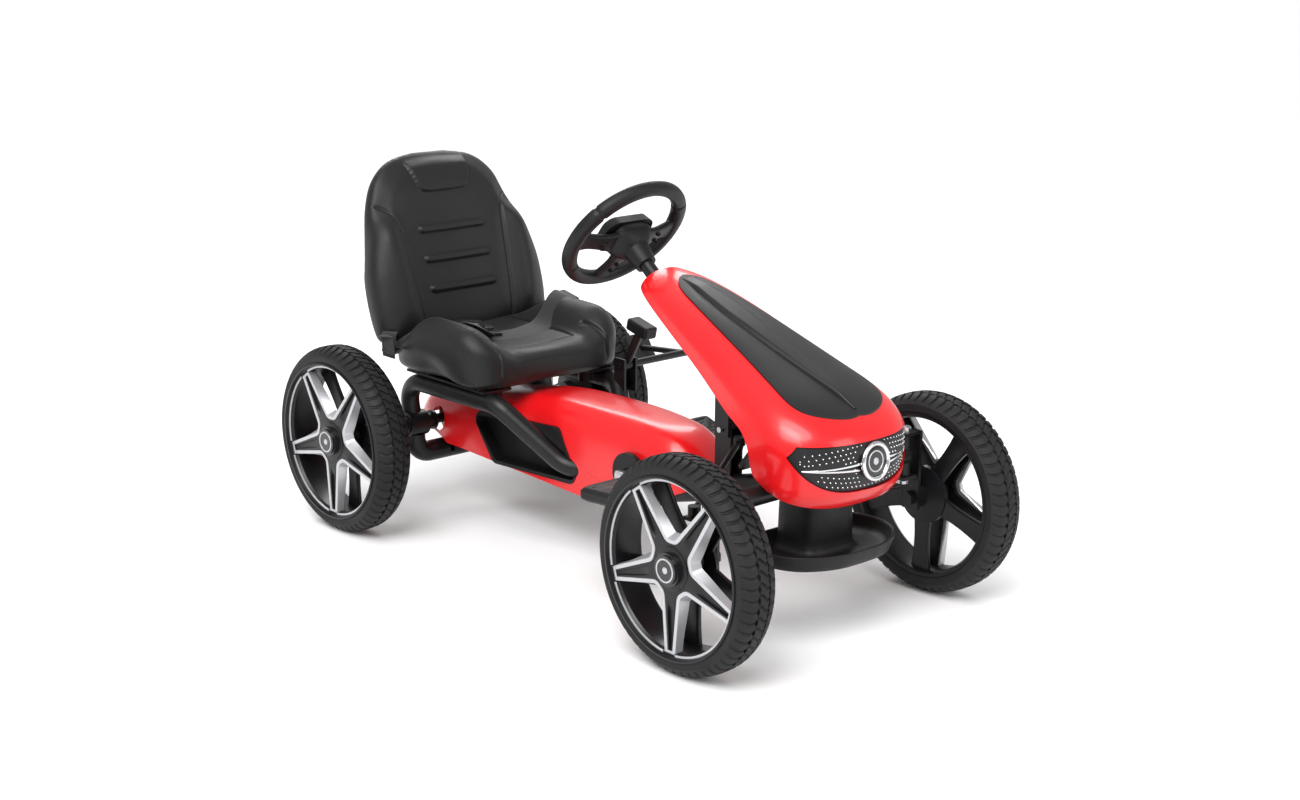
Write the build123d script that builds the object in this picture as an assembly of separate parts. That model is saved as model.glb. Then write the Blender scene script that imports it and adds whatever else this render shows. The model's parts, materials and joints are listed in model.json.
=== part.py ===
from build123d import *
import os
from math import cos, pi, radians, sin

# Pedal go-kart for a child, in millimetres. +X is forwards, +Y is the driver's left, +Z is up.
# The origin is on the ground, midway between the axles.

# ---- driving dimensions -------------------------------------------------------------------
WHEELBASE = 796.0
TRACK = 498.0                     # between the middles of the left and right tyres
WHEEL_DIAMETER = 300.0
TYRE_WIDTH = 62.0
TYRE_SECTION = 27.0               # from the rim's seat to the tread
FIT_GAP = 0.3                     # between solids of different bodies that lie close
RUNNING_FIT = 0.05                # radial, between a shaft and its bush

FRAME_TUBE = 38.0                 # outer diameter of the main tube
SEAT_TUBE = 30.0
CROSS_TUBE = 34.0
BEAM_TUBE = 28.0
TUBE_WALL = 2.0
MAIN_BEND = 220.0                 # bend radii
CROSS_BEND = 28.0
SEAT_BENDS = [46.0, 40.0, 60.0]

AXLE_DIAMETER = 16.0
REAR_BEARING_Y = 112.0            # middle of each rear bearing housing
REAR_BEARING_LENGTH = 36.0
REAR_BEARING_DIAMETER = 42.0
REAR_CROSS_DROP = 52.0            # rear cross tube below the axle
HITCH_BORE = 8.5                  # through hole for a trailer pin

CRANK_BEHIND_FRONT_AXLE = 309.0
CRANK_ABOVE_AXLE = 18.0
CRANK_LENGTH = 65.0
CRANK_SHAFT = 16.0
CHAIN_PITCH = 12.7
CHAIN_LINE = 34.0                 # chain plane, on the right of the middle
CHAINRING_TEETH = 26
SPROCKET_TEETH = 14
PEDAL_LENGTH = 92.0
PEDAL_WIDTH = 86.0
PEDAL_THICKNESS = 24.0
PEDAL_INNER_Y = 100.0
PEDAL_PITCH = {"right": -4.0, "left": 20.0}     # front edge down, degrees

KINGPIN_Y = 183.0
KINGPIN_DIAMETER = 10.0
BEAM_ABOVE_AXLE = 69.0
SLEEVE_LENGTH = 60.0
STUB_DIAMETER = 12.0
STEERING_ARM = 58.0               # knuckle arm and pitman arm, between centres
TIE_ROD_DIAMETER = 9.0

COLUMN_TILT = 38.5                # column below the horizontal, degrees
COLUMN_DIAMETER = 22.0
STEERING_WHEEL_SETBACK = 406.5    # wheel centre behind the front axle
STEERING_WHEEL_ABOVE_AXLE = 356.8
STEERING_WHEEL_RADIUS = 95.0      # to the middle of the grip
STEERING_GRIP = 22.0
PITMAN_DISTANCE = 400.0           # down the column from the steering wheel's centre
PITMAN_THICKNESS = 6.0
STRUT_DISTANCE = 297.0            # the upper column bearing, likewise
STRUT_PIN_DROP = 66.0             # strut pin below that bearing

SEAT_HALF_WIDTH = 158.0
SEAT_FRONT = 240.0                # ahead of the rear axle
SEAT_REAR = -22.0
SEAT_BOTTOM = 110.0               # above the axle
SEAT_TOP = 150.0
BOLSTER_TOP = 188.0
BACKREST_LEAN = 18.0              # degrees from upright
BACKREST_THICKNESS = 52.0
SEAT_TRAVEL = 40.0

COVER_HALF_WIDTH = 69.0
COVER_WALL = 3.0
HOOD_WALL = 3.0
HOOD_HALF_WIDTH = 126.0
INSERT_THICKNESS = 2.4

BRAKE_PIVOT_X = 257.0             # ahead of the rear axle
BRAKE_PIVOT_ABOVE_AXLE = 110.0
BRAKE_LEVER_Y = 122.0
BRAKE_LEVER_LENGTH = 74.0
BRAKE_SHOE_GAP = 22.0             # from the tyre when the brake is off

# ---- places that follow from them ---------------------------------------------------------
WHEEL_RADIUS = WHEEL_DIAMETER / 2
RIM_RADIUS = WHEEL_RADIUS - TYRE_SECTION
AXLE_Z = WHEEL_RADIUS
REAR_X = -WHEELBASE / 2
FRONT_X = WHEELBASE / 2
HALF_TRACK = TRACK / 2
CRANK_X = FRONT_X - CRANK_BEHIND_FRONT_AXLE
CRANK_Z = AXLE_Z + CRANK_ABOVE_AXLE
BEAM_Z = AXLE_Z + BEAM_ABOVE_AXLE
WHEEL_INNER_Y = HALF_TRACK - TYRE_WIDTH / 2
WHEEL_OUTER_Y = HALF_TRACK + TYRE_WIDTH / 2
SEAT_TUBE_Y = REAR_BEARING_Y + 10
SEAT_TUBE_Z = SEAT_BOTTOM - 30    # above the axle
SIDES = {"right": -1, "left": 1}


def rear(x, y, z):
    """A point given from the middle of the rear axle."""
    return Vector(REAR_X + x, y, AXLE_Z + z)


def front(x, y, z):
    """A point given from the middle of the front axle line."""
    return Vector(FRONT_X + x, y, AXLE_Z + z)


def rod(start, end, radius):
    """A round bar from one point to another."""
    start = Vector(start)
    run = Vector(end) - start
    plane = Plane(origin=start, z_dir=run.normalized())
    return extrude(plane * Circle(radius), amount=run.length)


def ring(start, end, outer, inner):
    """A round sleeve from one point to another."""
    run = (Vector(end) - Vector(start)).normalized()
    return rod(start, end, outer) - rod(Vector(start) - run, Vector(end) + run, inner)


def block(low, high, corner=0.0):
    """A box between two corners, with its edges rounded."""
    low = Vector(low)
    high = Vector(high)
    size = high - low
    body = Pos(*(low + high) / 2) * Box(size.X, size.Y, size.Z)
    if corner > 0:
        body = fillet(body.edges(), corner)
    return body


def bent_bar(points, bends, radius):
    """A round bar along straight runs joined by arcs."""
    path = FilletPolyline(*points, radius=bends)
    plane = Plane(origin=path @ 0, z_dir=path % 0)
    return sweep(plane * Circle(radius), path=path)


def bent_tube(points, bends, diameter, wall=TUBE_WALL):
    """A round tube along straight runs joined by arcs, with its outer bar."""
    bar = bent_bar(points, bends, diameter / 2)
    return bar - bent_bar(points, bends, diameter / 2 - wall), bar


def shell(rows, depth, below=0.0):
    """A sheet under the surface through a grid of points, from below to depth inside it.

    A negative depth puts the sheet on the outside.
    """
    face = Face.make_surface_from_array_of_points(rows)
    sheet = Solid.thicken(face, -depth)
    if below > 0:
        sheet = sheet - Solid.thicken(face, -below)
    return sheet


def u_section(middle, edge, half_width, power, count=15):
    """Points across a channel: a superellipse from one edge over the middle to the other.

    middle and edge are (x, z). A power of 2 is an ellipse, and a larger one is boxier.
    """
    points = []
    for index in range(count):
        angle = pi * index / (count - 1)
        across = abs(cos(angle)) ** (2 / power) * (1 if cos(angle) > 0 else -1)
        up = abs(sin(angle)) ** (2 / power)
        x = edge[0] + (middle[0] - edge[0]) * up
        z = edge[1] + (middle[1] - edge[1]) * up
        points.append(Vector(x, -half_width * across, z))
    return points


parts = {}


def add(name, solid):
    """Keep a finished solid under its node name."""
    parts[name] = solid


# ---- frame --------------------------------------------------------------------------------
def main_route():
    """The route of the main tube's middle, from the rear cross tube to the front beam."""
    return [
        rear(4, 0, 6 - REAR_CROSS_DROP),
        Vector(CRANK_X, 0, CRANK_Z - 39),
        front(-6, 0, BEAM_ABOVE_AXLE - 9),
    ]


def make_frame():
    cross_z = -REAR_CROSS_DROP
    housing_foot = -REAR_BEARING_DIAMETER / 2 + 4
    cross_points = [
        rear(0, -REAR_BEARING_Y, housing_foot),
        rear(0, -REAR_BEARING_Y, cross_z),
        rear(0, REAR_BEARING_Y, cross_z),
        rear(0, REAR_BEARING_Y, housing_foot),
    ]
    cross_tube, cross_bar = bent_tube(cross_points, CROSS_BEND, CROSS_TUBE)
    housings = {}
    housing_rings = Part()
    bushes = Part()
    for name, side in SIDES.items():
        middle = side * REAR_BEARING_Y
        start = rear(0, middle - REAR_BEARING_LENGTH / 2, 0)
        end = rear(0, middle + REAR_BEARING_LENGTH / 2, 0)
        housings[name] = rod(start, end, REAR_BEARING_DIAMETER / 2)
        bush_radius = AXLE_DIAMETER / 2 + 4
        housing_rings = housing_rings + ring(start, end, REAR_BEARING_DIAMETER / 2, bush_radius)
        bush = ring(start, end, bush_radius, AXLE_DIAMETER / 2 + RUNNING_FIT)
        lip_start = rear(0, middle + side * REAR_BEARING_LENGTH / 2, 0)
        lip_end = rear(0, middle + side * (REAR_BEARING_LENGTH / 2 + 2), 0)
        lip = ring(lip_start, lip_end, bush_radius + 3, AXLE_DIAMETER / 2 + RUNNING_FIT)
        bushes = bushes + bush + lip
    add("rear_bearing_housings", housing_rings)

    main_tube, main_bar = bent_tube(main_route(), MAIN_BEND, FRAME_TUBE)
    beam_ends = front(0, -KINGPIN_Y, BEAM_ABOVE_AXLE), front(0, KINGPIN_Y, BEAM_ABOVE_AXLE)
    beam_bar = rod(*beam_ends, BEAM_TUBE / 2)
    add("main_tube", main_tube - cross_bar - beam_bar)

    hitch = rod(rear(-40, -48, cross_z), rear(40, -48, cross_z), HITCH_BORE / 2)
    cross_tube = cross_tube - hitch
    for housing in housings.values():
        cross_tube = cross_tube - housing
    add("rear_cross_tube", cross_tube)

    for name, side in SIDES.items():
        tube, _ = bent_tube(seat_points(side), SEAT_BENDS, SEAT_TUBE)
        bush_hole = rod(rear(0, -200, 0), rear(0, 200, 0), AXLE_DIAMETER / 2 + 8)
        add(f"seat_tube_{name}", tube - housings[name] - main_bar - bush_hole)

    sleeve_outer = KINGPIN_DIAMETER / 2 + 5
    beam = beam_bar - rod(*beam_ends, BEAM_TUBE / 2 - TUBE_WALL)
    for side in SIDES.values():
        low = front(0, side * KINGPIN_Y, BEAM_ABOVE_AXLE - SLEEVE_LENGTH / 2)
        high = front(0, side * KINGPIN_Y, BEAM_ABOVE_AXLE + SLEEVE_LENGTH / 2)
        beam = beam - rod(low, high, sleeve_outer)
        beam = beam + ring(low, high, sleeve_outer, KINGPIN_DIAMETER / 2 + RUNNING_FIT)
    add("front_axle_beam", beam)

    shell_radius = CRANK_SHAFT / 2 + 12
    shell_end = CHAIN_LINE - 9
    bracket_bar = rod((CRANK_X, -shell_end, CRANK_Z), (CRANK_X, shell_end, CRANK_Z), shell_radius)
    web = block((CRANK_X - 14, -12, CRANK_Z - 32), (CRANK_X + 14, 12, CRANK_Z))
    crank_hole = rod((CRANK_X, -200, CRANK_Z), (CRANK_X, 200, CRANK_Z), CRANK_SHAFT / 2 + 4)
    add("crank_bearing_shell", (bracket_bar + web) - main_bar - crank_hole)
    for side in SIDES.values():
        inner_end = (CRANK_X, side * (shell_end - 14), CRANK_Z)
        outer_end = (CRANK_X, side * shell_end, CRANK_Z)
        bushes = bushes + ring(inner_end, outer_end, CRANK_SHAFT / 2 + 4, CRANK_SHAFT / 2 + RUNNING_FIT)
    add("bearing_bushes", bushes)
    return main_bar, beam_bar


# ---- steering -----------------------------------------------------------------------------
def column_point(distance):
    """A point on the column's axis, measured down from the steering wheel's centre."""
    run = Vector(cos(radians(COLUMN_TILT)), 0, -sin(radians(COLUMN_TILT)))
    return front(-STEERING_WHEEL_SETBACK, 0, STEERING_WHEEL_ABOVE_AXLE) + run * distance


def column_plane(distance):
    """The plane square to the column, facing the driver: X to the left, Y down and back."""
    facing = column_point(-1) - column_point(0)
    return Plane(origin=column_point(distance), x_dir=(0, 1, 0), z_dir=facing)


def make_steering():
    grip = Torus(STEERING_WHEEL_RADIUS, STEERING_GRIP / 2)
    hub = Pos(0, 0, -16) * Cylinder(26, 22)
    spokes = Part()
    reach = STEERING_WHEEL_RADIUS - STEERING_GRIP / 2 + 3
    for angle in (0, 180, 90):
        arm = Pos(reach / 2, 0, -8) * Box(reach, 32, 9)
        spokes = spokes + Rot(0, 0, angle) * arm
    place = column_plane(0).location
    socket = rod(column_point(9), column_point(40), COLUMN_DIAMETER / 2)
    wheel = place * (grip + hub + spokes)
    add("steering_wheel", wheel - socket)
    pad_plane = column_plane(3.5)
    pad = extrude(pad_plane * RectangleRounded(92, 62, 22), amount=15, taper=14)
    add("steering_pad", pad - wheel)
    collar = loft([column_plane(27) * Circle(22), column_plane(64) * Circle(16)])
    add("steering_collar", collar - rod(column_point(0), column_point(80), COLUMN_DIAMETER / 2))
    column = rod(column_point(9), column_point(PITMAN_DISTANCE + 36), COLUMN_DIAMETER / 2)
    plate = Pos(0, STEERING_ARM / 2) * RectangleRounded(32, STEERING_ARM + 30, 10)
    plate = column_plane(PITMAN_DISTANCE) * plate
    add("steering_column", column + extrude(plate, amount=PITMAN_THICKNESS))


def make_column_mounts(main_bar):
    column_hole = rod(column_point(0), column_point(PITMAN_DISTANCE + 80), COLUMN_DIAMETER / 2 + RUNNING_FIT)
    lower_start = PITMAN_DISTANCE + PITMAN_THICKNESS + FIT_GAP
    lower_ring = rod(column_point(lower_start), column_point(lower_start + 24), COLUMN_DIAMETER / 2 + 6)
    foot = column_point(lower_start + 13)
    web = block((foot.X - 5, -4, BEAM_Z - 30), (foot.X + 16, 4, foot.Z))
    lower_bearing = (lower_ring + web) - column_hole - main_bar

    collar_ends = column_point(STRUT_DISTANCE - 28), column_point(STRUT_DISTANCE + 28)
    collar = rod(*collar_ends, COLUMN_DIAMETER / 2 + 6)
    top = column_point(STRUT_DISTANCE)
    lugs = Part()
    for side in SIDES.values():
        low = (top.X - 14, side * 15 - 2, top.Z - STRUT_PIN_DROP - 10)
        high = (top.X + 14, side * 15 + 2, top.Z)
        lugs = lugs + block(low, high)
    saddle_top = hood_middle_height(top.X - FRONT_X) - HOOD_WALL - 6
    post = block((top.X - 12, -10, top.Z), (top.X + 12, 10, AXLE_Z + saddle_top))
    bearing = (collar + lugs + post) - column_hole
    pin_z = top.Z - STRUT_PIN_DROP
    pin = rod((top.X, -22, pin_z), (top.X, 22, pin_z), 4)
    add("column_bearings", lower_bearing + (bearing - pin))
    add("strut_pin", pin)
    outer = block((top.X - 17, -12.5, 0), (top.X + 15, 12.5, pin_z + 12))
    inner = block((top.X - 14, -9.5, -5), (top.X + 30, 9.5, pin_z + 20))
    below = block((top.X - 30, -40, -10), (top.X + 30, 40, CRANK_Z))
    add("column_strut", outer - inner - main_bar - below - pin)


# ---- front wheels' knuckles and tie rods --------------------------------------------------
def make_knuckles():
    half = SLEEVE_LENGTH / 2 + FIT_GAP
    tab = 5.0
    for name, side in SIDES.items():
        def at(x, y, z):
            return front(x, side * y, z)
        inner, outer = KINGPIN_Y - 13, KINGPIN_Y + 22
        pieces = [
            (at(-13, inner, BEAM_ABOVE_AXLE + half), at(13, outer, BEAM_ABOVE_AXLE + half + tab)),
            (at(-13, inner, BEAM_ABOVE_AXLE - half - tab), at(13, outer, BEAM_ABOVE_AXLE - half)),
            (at(-15, outer - tab, -17), at(15, outer, BEAM_ABOVE_AXLE + half + tab)),
            (at(-STEERING_ARM - 9, inner, BEAM_ABOVE_AXLE - half - tab),
             at(0, inner + 20, BEAM_ABOVE_AXLE - half)),
        ]
        knuckle = Part()
        for first, second in pieces:
            low = Vector(first.X, min(first.Y, second.Y), first.Z)
            high = Vector(second.X, max(first.Y, second.Y), second.Z)
            knuckle = knuckle + block(low, high)
        bolt_top = BEAM_ABOVE_AXLE + half + tab
        bolt_foot = BEAM_ABOVE_AXLE - half - tab
        shank = rod(at(0, KINGPIN_Y, bolt_foot - 6), at(0, KINGPIN_Y, bolt_top), KINGPIN_DIAMETER / 2)
        head = rod(at(0, KINGPIN_Y, bolt_top), at(0, KINGPIN_Y, bolt_top + 7), KINGPIN_DIAMETER * 0.85)
        nut = ring(at(0, KINGPIN_Y, bolt_foot - 7), at(0, KINGPIN_Y, bolt_foot), 8.5, KINGPIN_DIAMETER / 2)
        stub = rod(at(0, outer - tab - 2, 0), at(0, HALF_TRACK + 25, 0), STUB_DIAMETER / 2)
        nut_plane = Plane(at(0, outer - tab, 0), z_dir=(0, -side, 0))
        stub_nut = extrude(nut_plane * RegularPolygon(11, 6), amount=8)
        pivot = at(-STEERING_ARM, inner + 8, 0)
        pivot_hole = rod(pivot, pivot + Vector(0, 0, 200), 4 + RUNNING_FIT)
        add(f"knuckle_{name}", knuckle + stub + stub_nut - shank - pivot_hole)
        add(f"kingpin_bolt_{name}", shank + head + nut)
        make_tie_rod(name, side, pivot)


def make_tie_rod(name, side, pivot):
    arm_foot = BEAM_ABOVE_AXLE - SLEEVE_LENGTH / 2 - FIT_GAP
    outer_z = AXLE_Z + arm_foot + 8
    outer_eye = Vector(pivot.X, pivot.Y, outer_z)
    pitman = column_point(PITMAN_DISTANCE) + column_plane(0).y_dir * STEERING_ARM
    inner_eye = Vector(pitman.X - 8, side * 16, pitman.Z + 34)
    up = Vector(0, 0, 6)
    eyes = rod(outer_eye - up, outer_eye + up, 9) + rod(inner_eye - up, inner_eye + up, 9)
    stud = rod(outer_eye - up * 2.4, outer_eye, 4)
    rod_body = rod(inner_eye, outer_eye, TIE_ROD_DIAMETER / 2)
    add(f"tie_rod_{name}", rod_body + eyes + stud)


# ---- wheels -------------------------------------------------------------------------------
def polar(radius, angle):
    return Vector(radius * cos(radians(angle)), radius * sin(radians(angle)))


def spoke(angle):
    """One arm of the star, full width where neighbours meet at the hub and narrow at the rim."""
    reach = RIM_RADIUS - 4
    half = [(27, -22), (reach, -10.5), (reach, 10.5), (27, 22), (5, 3)]
    outline = Polyline((5, -3), *half, close=True)
    return Rot(0, 0, angle) * make_face(outline)


def make_wheel_shapes(bore):
    """The tyre, rim and cap of a wheel on the Z axis, with its outer face up."""
    half = TYRE_WIDTH / 2
    with_crown = 3.0
    tyre_points = [
        (RIM_RADIUS, -half + 5), (RIM_RADIUS + 3, -half + 1), (WHEEL_RADIUS - 13, -half),
        (WHEEL_RADIUS - with_crown, -half + 9), (WHEEL_RADIUS, 0), (WHEEL_RADIUS - with_crown, half - 9),
        (WHEEL_RADIUS - 13, half), (RIM_RADIUS + 3, half - 1), (RIM_RADIUS, half - 5),
    ]
    bead = Polyline(*tyre_points[:3])
    tread = Spline(*tyre_points[2:7])
    other_bead = Polyline(*tyre_points[6:])
    seat = Line(tyre_points[-1], tyre_points[0])
    profile = make_face(bead + tread + other_bead + seat)
    tyre = revolve(Plane.XZ * profile, Axis.Z)

    barrel = [
        (RIM_RADIUS, -half + 2), (RIM_RADIUS, half - 2), (RIM_RADIUS + 3, half - 1),
        (RIM_RADIUS + 3, half + 1.5), (RIM_RADIUS - 5, half + 3), (RIM_RADIUS - 8, half - 6),
        (RIM_RADIUS - 8, -half + 2),
    ]
    barrel = revolve(Plane.XZ * make_face(Polyline(*barrel, close=True)), Axis.Z)
    spokes = Part()
    for index in range(5):
        outer = extrude(Pos(0, 0, half - 12) * spoke(270 + 72 * index), amount=9)
        flat = Pos((RIM_RADIUS + 20) / 2, 0, -half + 14) * Box(RIM_RADIUS - 28, 26, 6)
        spokes = spokes + outer + Rot(0, 0, 270 + 72 * index) * flat
    hub = Pos(0, 0, 0.5) * Cylinder(22, 2 * half - 14)
    hub = hub + Pos(0, 0, half - 10) * Cylinder(40, 10) + Pos(0, 0, -half + 12) * Cylinder(44, 6)
    hub = hub + Pos(0, 0, -half + 1) * Cylinder(16, 16)
    rim = barrel + spokes + hub - Cylinder(bore, 200)
    cap = Pos(0, 0, half - 1.5) * Cylinder(23, 7) + Pos(0, 0, half + 3.5) * Cylinder(20, 3)
    socket = Pos(0, 0, half - 14) * Cylinder(AXLE_DIAMETER / 2 + 6, 22)
    return tyre, rim - socket - cap, cap


def make_wheels():
    for end, axle_x, bore in (("rear", REAR_X, AXLE_DIAMETER / 2), ("front", FRONT_X, STUB_DIAMETER / 2)):
        for name, side in SIDES.items():
            driven = end == "rear" and name == "left"
            tyre, rim, cap = make_wheel_shapes(bore if driven else bore + RUNNING_FIT)
            middle = Vector(axle_x, side * HALF_TRACK, AXLE_Z)
            place = Plane(origin=middle, x_dir=(1, 0, 0), z_dir=(0, side, 0)).location
            turn = Rot(0, 0, 180 if side > 0 else 0)
            spin = place * turn
            add(f"tyre_{end}_{name}", spin * tyre)
            add(f"rim_{end}_{name}", spin * rim)
            add(f"hub_cap_{end}_{name}", spin * cap)


# ---- drive --------------------------------------------------------------------------------
def pitch_radius(teeth):
    return CHAIN_PITCH / (2 * sin(pi / teeth))


def toothed_disc(teeth):
    """A chain wheel's outline, with a point at each tooth and a flat root between teeth."""
    radius = pitch_radius(teeth)
    step = 360 / teeth
    points = []
    for index in range(teeth):
        for radial, share in ((-3.5, 0.0), (2.6, 0.36), (2.6, 0.54), (-3.5, 0.9)):
            points.append(polar(radius + radial, (index + share) * step))
    return make_face(Polyline(*points, close=True))


def make_drive():
    chain_plane = Plane(origin=(0, -CHAIN_LINE, 0), x_dir=(1, 0, 0), z_dir=(0, -1, 0))

    def on_chain(x, z):
        return chain_plane * Pos(x, z, 0)

    big, small = pitch_radius(CHAINRING_TEETH), pitch_radius(SPROCKET_TEETH)
    half_disc = 1.2
    for name, x, z, teeth, bore in (
        ("chainring", CRANK_X, CRANK_Z, CHAINRING_TEETH, CRANK_SHAFT / 2),
        ("drive_sprocket", REAR_X, AXLE_Z, SPROCKET_TEETH, AXLE_DIAMETER / 2),
    ):
        disc = extrude(on_chain(x, z) * toothed_disc(teeth), amount=half_disc, both=True)
        hub = extrude(on_chain(x, z) * Circle(bore + 6), amount=7, both=True)
        hole = extrude(on_chain(x, z) * Circle(bore), amount=30, both=True)
        add(name, disc + hub - hole)

    def loop(grow, half_width):
        circles = [
            (on_chain(CRANK_X, CRANK_Z) * Circle(big + grow)).edges()[0],
            (on_chain(REAR_X, AXLE_Z) * Circle(small + grow)).edges()[0],
        ]
        flat = [chain_plane.to_local_coords(edge) for edge in circles]
        return extrude(chain_plane * make_hull(flat), amount=half_width, both=True)

    band = loop(4.8, 4.0) - loop(-4.8, 6.0)
    groove = loop(3.4, 1.7) - loop(-6.0, 1.7)
    add("chain", band - groove)

    shaft = rod((CRANK_X, -96, CRANK_Z), (CRANK_X, 96, CRANK_Z), CRANK_SHAFT / 2)
    crank = shaft
    for name, side in SIDES.items():
        reach = -side * CRANK_LENGTH
        pedal_x = CRANK_X + reach
        arm = block((min(0, reach) - 9, -6, -8), (max(0, reach) + 9, 6, 8), 2.5)
        arm = Pos(CRANK_X, side * 90, CRANK_Z) * arm
        spindle_end = PEDAL_INNER_Y + PEDAL_WIDTH
        spindle = rod((pedal_x, side * 90, CRANK_Z), (pedal_x, side * (spindle_end - 6), CRANK_Z), 6)
        crank = crank + arm + spindle
        half_length, half_thick = PEDAL_LENGTH / 2, PEDAL_THICKNESS / 2
        low_y, high_y = sorted((side * PEDAL_INNER_Y, side * spindle_end))
        pedal = block((-half_length, low_y, -half_thick), (half_length, high_y, half_thick), 5)
        pedal = pedal - rod((0, side * 80, 0), (0, side * (spindle_end - 5), 0), 6 + RUNNING_FIT)
        add(f"pedal_{name}", Pos(pedal_x, 0, CRANK_Z) * Rot(0, PEDAL_PITCH[name], 0) * pedal)
    add("crankset", crank)

    axle_end = HALF_TRACK + 22
    shaft = rod(rear(0, -axle_end, 0), rear(0, axle_end, 0), AXLE_DIAMETER / 2)
    spacer_start = COVER_HALF_WIDTH + 6
    spacer_end = REAR_BEARING_Y - REAR_BEARING_LENGTH / 2 - FIT_GAP
    for side in SIDES.values():
        first, second = rear(0, side * spacer_start, 0), rear(0, side * spacer_end, 0)
        lip = rear(0, side * (spacer_start + 4), 0)
        shaft = shaft + rod(first, second, 12) + rod(first, lip, 16)
    add("rear_axle", shaft)


# ---- body shells --------------------------------------------------------------------------
# Each row is the middle and the edge as (x, z), the half width and the boxiness of a section.
HOOD_ROWS = [
    ((-310, 320), (-322, 296), 42, 2.2),
    ((-274, 312), (-296, 286), 58, 2.6),
    ((-196, 286), (-206, 242), 80, 3.0),
    ((-96, 249), (-112, 190), 98, 3.2),
    ((4, 210), (-51, 162), 115, 3.2),
    ((66, 182), (-24, 150), 123, 2.8),
    ((97, 158), (-12, 135), 126, 2.5),
    ((107, 125), (-6, 114), 126, 2.4),
    ((103, 90), (-1, 97), 124, 2.4),
    ((84, 55), (16, 79), 116, 2.4),
]


def hood_middle_height(x):
    """Height of the hood's ridge over the axle at a place behind the nose."""
    for (first, _, _, _), (second, _, _, _) in zip(HOOD_ROWS, HOOD_ROWS[1:]):
        if first[0] <= x <= second[0]:
            share = (x - first[0]) / (second[0] - first[0])
            return first[1] + share * (second[1] - first[1])
    return HOOD_ROWS[-1][0][1]


def section_rows(table, widest, place):
    """The grid of points for a table of sections, scaled across so the widest has that half width."""
    scale = widest / max(half_width for _, _, half_width, _ in table)
    rows = []
    for middle, edge, half_width, power in table:
        section = u_section(middle, edge, half_width * scale, power)
        rows.append([place(p.X, p.Y, p.Z) for p in section])
    return rows


def grille_outline(grow=0.0):
    """The nose opening as seen from the front, symmetric about the middle."""
    top, side_z, foot = 148.0, 133.0, 79.0
    half_top, half_side = 106.0, 115.0
    lower = Spline((-half_side - grow, side_z), (-92 - grow, 98 - grow), (0, foot - grow),
                   (92 + grow, 98 - grow), (half_side + grow, side_z))
    corner_right = Line((half_side + grow, side_z), (half_top + grow, top + grow))
    upper = Line((half_top + grow, top + grow), (-half_top - grow, top + grow))
    corner_left = Line((-half_top - grow, top + grow), (-half_side - grow, side_z))
    return make_face([lower, corner_right, upper, corner_left])


def nose_cut(grow=0.0):
    """The nose opening carried forwards from behind the hood's sides."""
    view = Plane(origin=front(20, 0, 0), x_dir=(0, 1, 0), z_dir=(1, 0, 0))
    return extrude(view * grille_outline(grow), amount=120)


def insert_outline():
    """The hood panel as seen from above: narrow behind and wide at the nose."""
    left = Spline((-276, 0), (-264, 21), (-219, 40), (-106, 61), (-10, 78), (40, 79), (68, 50), (76, 0))
    right = mirror(left, about=Plane.XZ)
    return make_face([left, right])


def make_hood():
    hood_grid = section_rows(HOOD_ROWS, HOOD_HALF_WIDTH, front)
    hood = shell(hood_grid, HOOD_WALL)
    add("hood", hood - nose_cut())
    slab = Pos(FRONT_X, 0, AXLE_Z + 140) * extrude(insert_outline(), amount=400)
    panel = shell(hood_grid, -INSERT_THICKNESS)
    add("hood_insert", panel & slab)
    backing = shell(hood_grid, HOOD_WALL + FIT_GAP + 2.0, HOOD_WALL + FIT_GAP)
    panel = backing & nose_cut(5.0)
    add("grille_panel", panel)
    centre = front(107, 0, 119)
    ring_plane = Plane(origin=centre, x_dir=(0, 1, 0), z_dir=(1, 0, 0.1))
    emblem = ring_plane.location * (Torus(25, 3.6) + Pos(0, 0, -2) * Cylinder(23, 3) + Cylinder(9, 5))
    trim = emblem - panel
    bars = Part()
    reach_y, bend_y = 100.0, 62.0
    for side in SIDES.values():
        points = [front(nose_x(y) - 1, side * y, 114) for y in (28.0, bend_y, reach_y)]
        path = Spline(*points)
        bars = bars + sweep(Plane(origin=path @ 0, z_dir=path % 0) * Ellipse(4.2, 2.2), path=path)
    add("grille_trim", trim + (bars - emblem - panel))


def nose_x(y):
    """How far the nose reaches ahead of the front axle at a place across it."""
    (middle_x, _), (edge_x, _), half_width, power = HOOD_ROWS[7]
    width = half_width * HOOD_HALF_WIDTH / max(row[2] for row in HOOD_ROWS)
    return edge_x + (middle_x - edge_x) * (1 - (y / width) ** power) ** (1 / power)


CRANK_AHEAD = CRANK_X - REAR_X
COVER_ROWS = [
    ((-98, -18), (9, -26), 62, 2.2),
    ((-84, 12), (20, -32), 68, 2.4),
    ((-40, 42), (32, -36), 69, 2.8),
    ((30, 56), (60, -36), 69, 3.4),
    ((136, 70), (136, -38), 70, 3.8),
    ((250, 88), (250, -41), 70, 3.8),
    ((CRANK_AHEAD - 153, 93), (CRANK_AHEAD - 153, -44), 70, 3.8),
    ((CRANK_AHEAD - 38, 93), (CRANK_AHEAD - 60, -46), 70, 3.8),
    ((CRANK_AHEAD + 60, 80), (CRANK_AHEAD - 5, -44), 68, 3.4),
    ((CRANK_AHEAD + 96, 50), (CRANK_AHEAD + 20, -36), 65, 2.6),
    ((CRANK_AHEAD + 110, 15), (CRANK_AHEAD + 30, -22), 60, 2.3),
]


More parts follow.
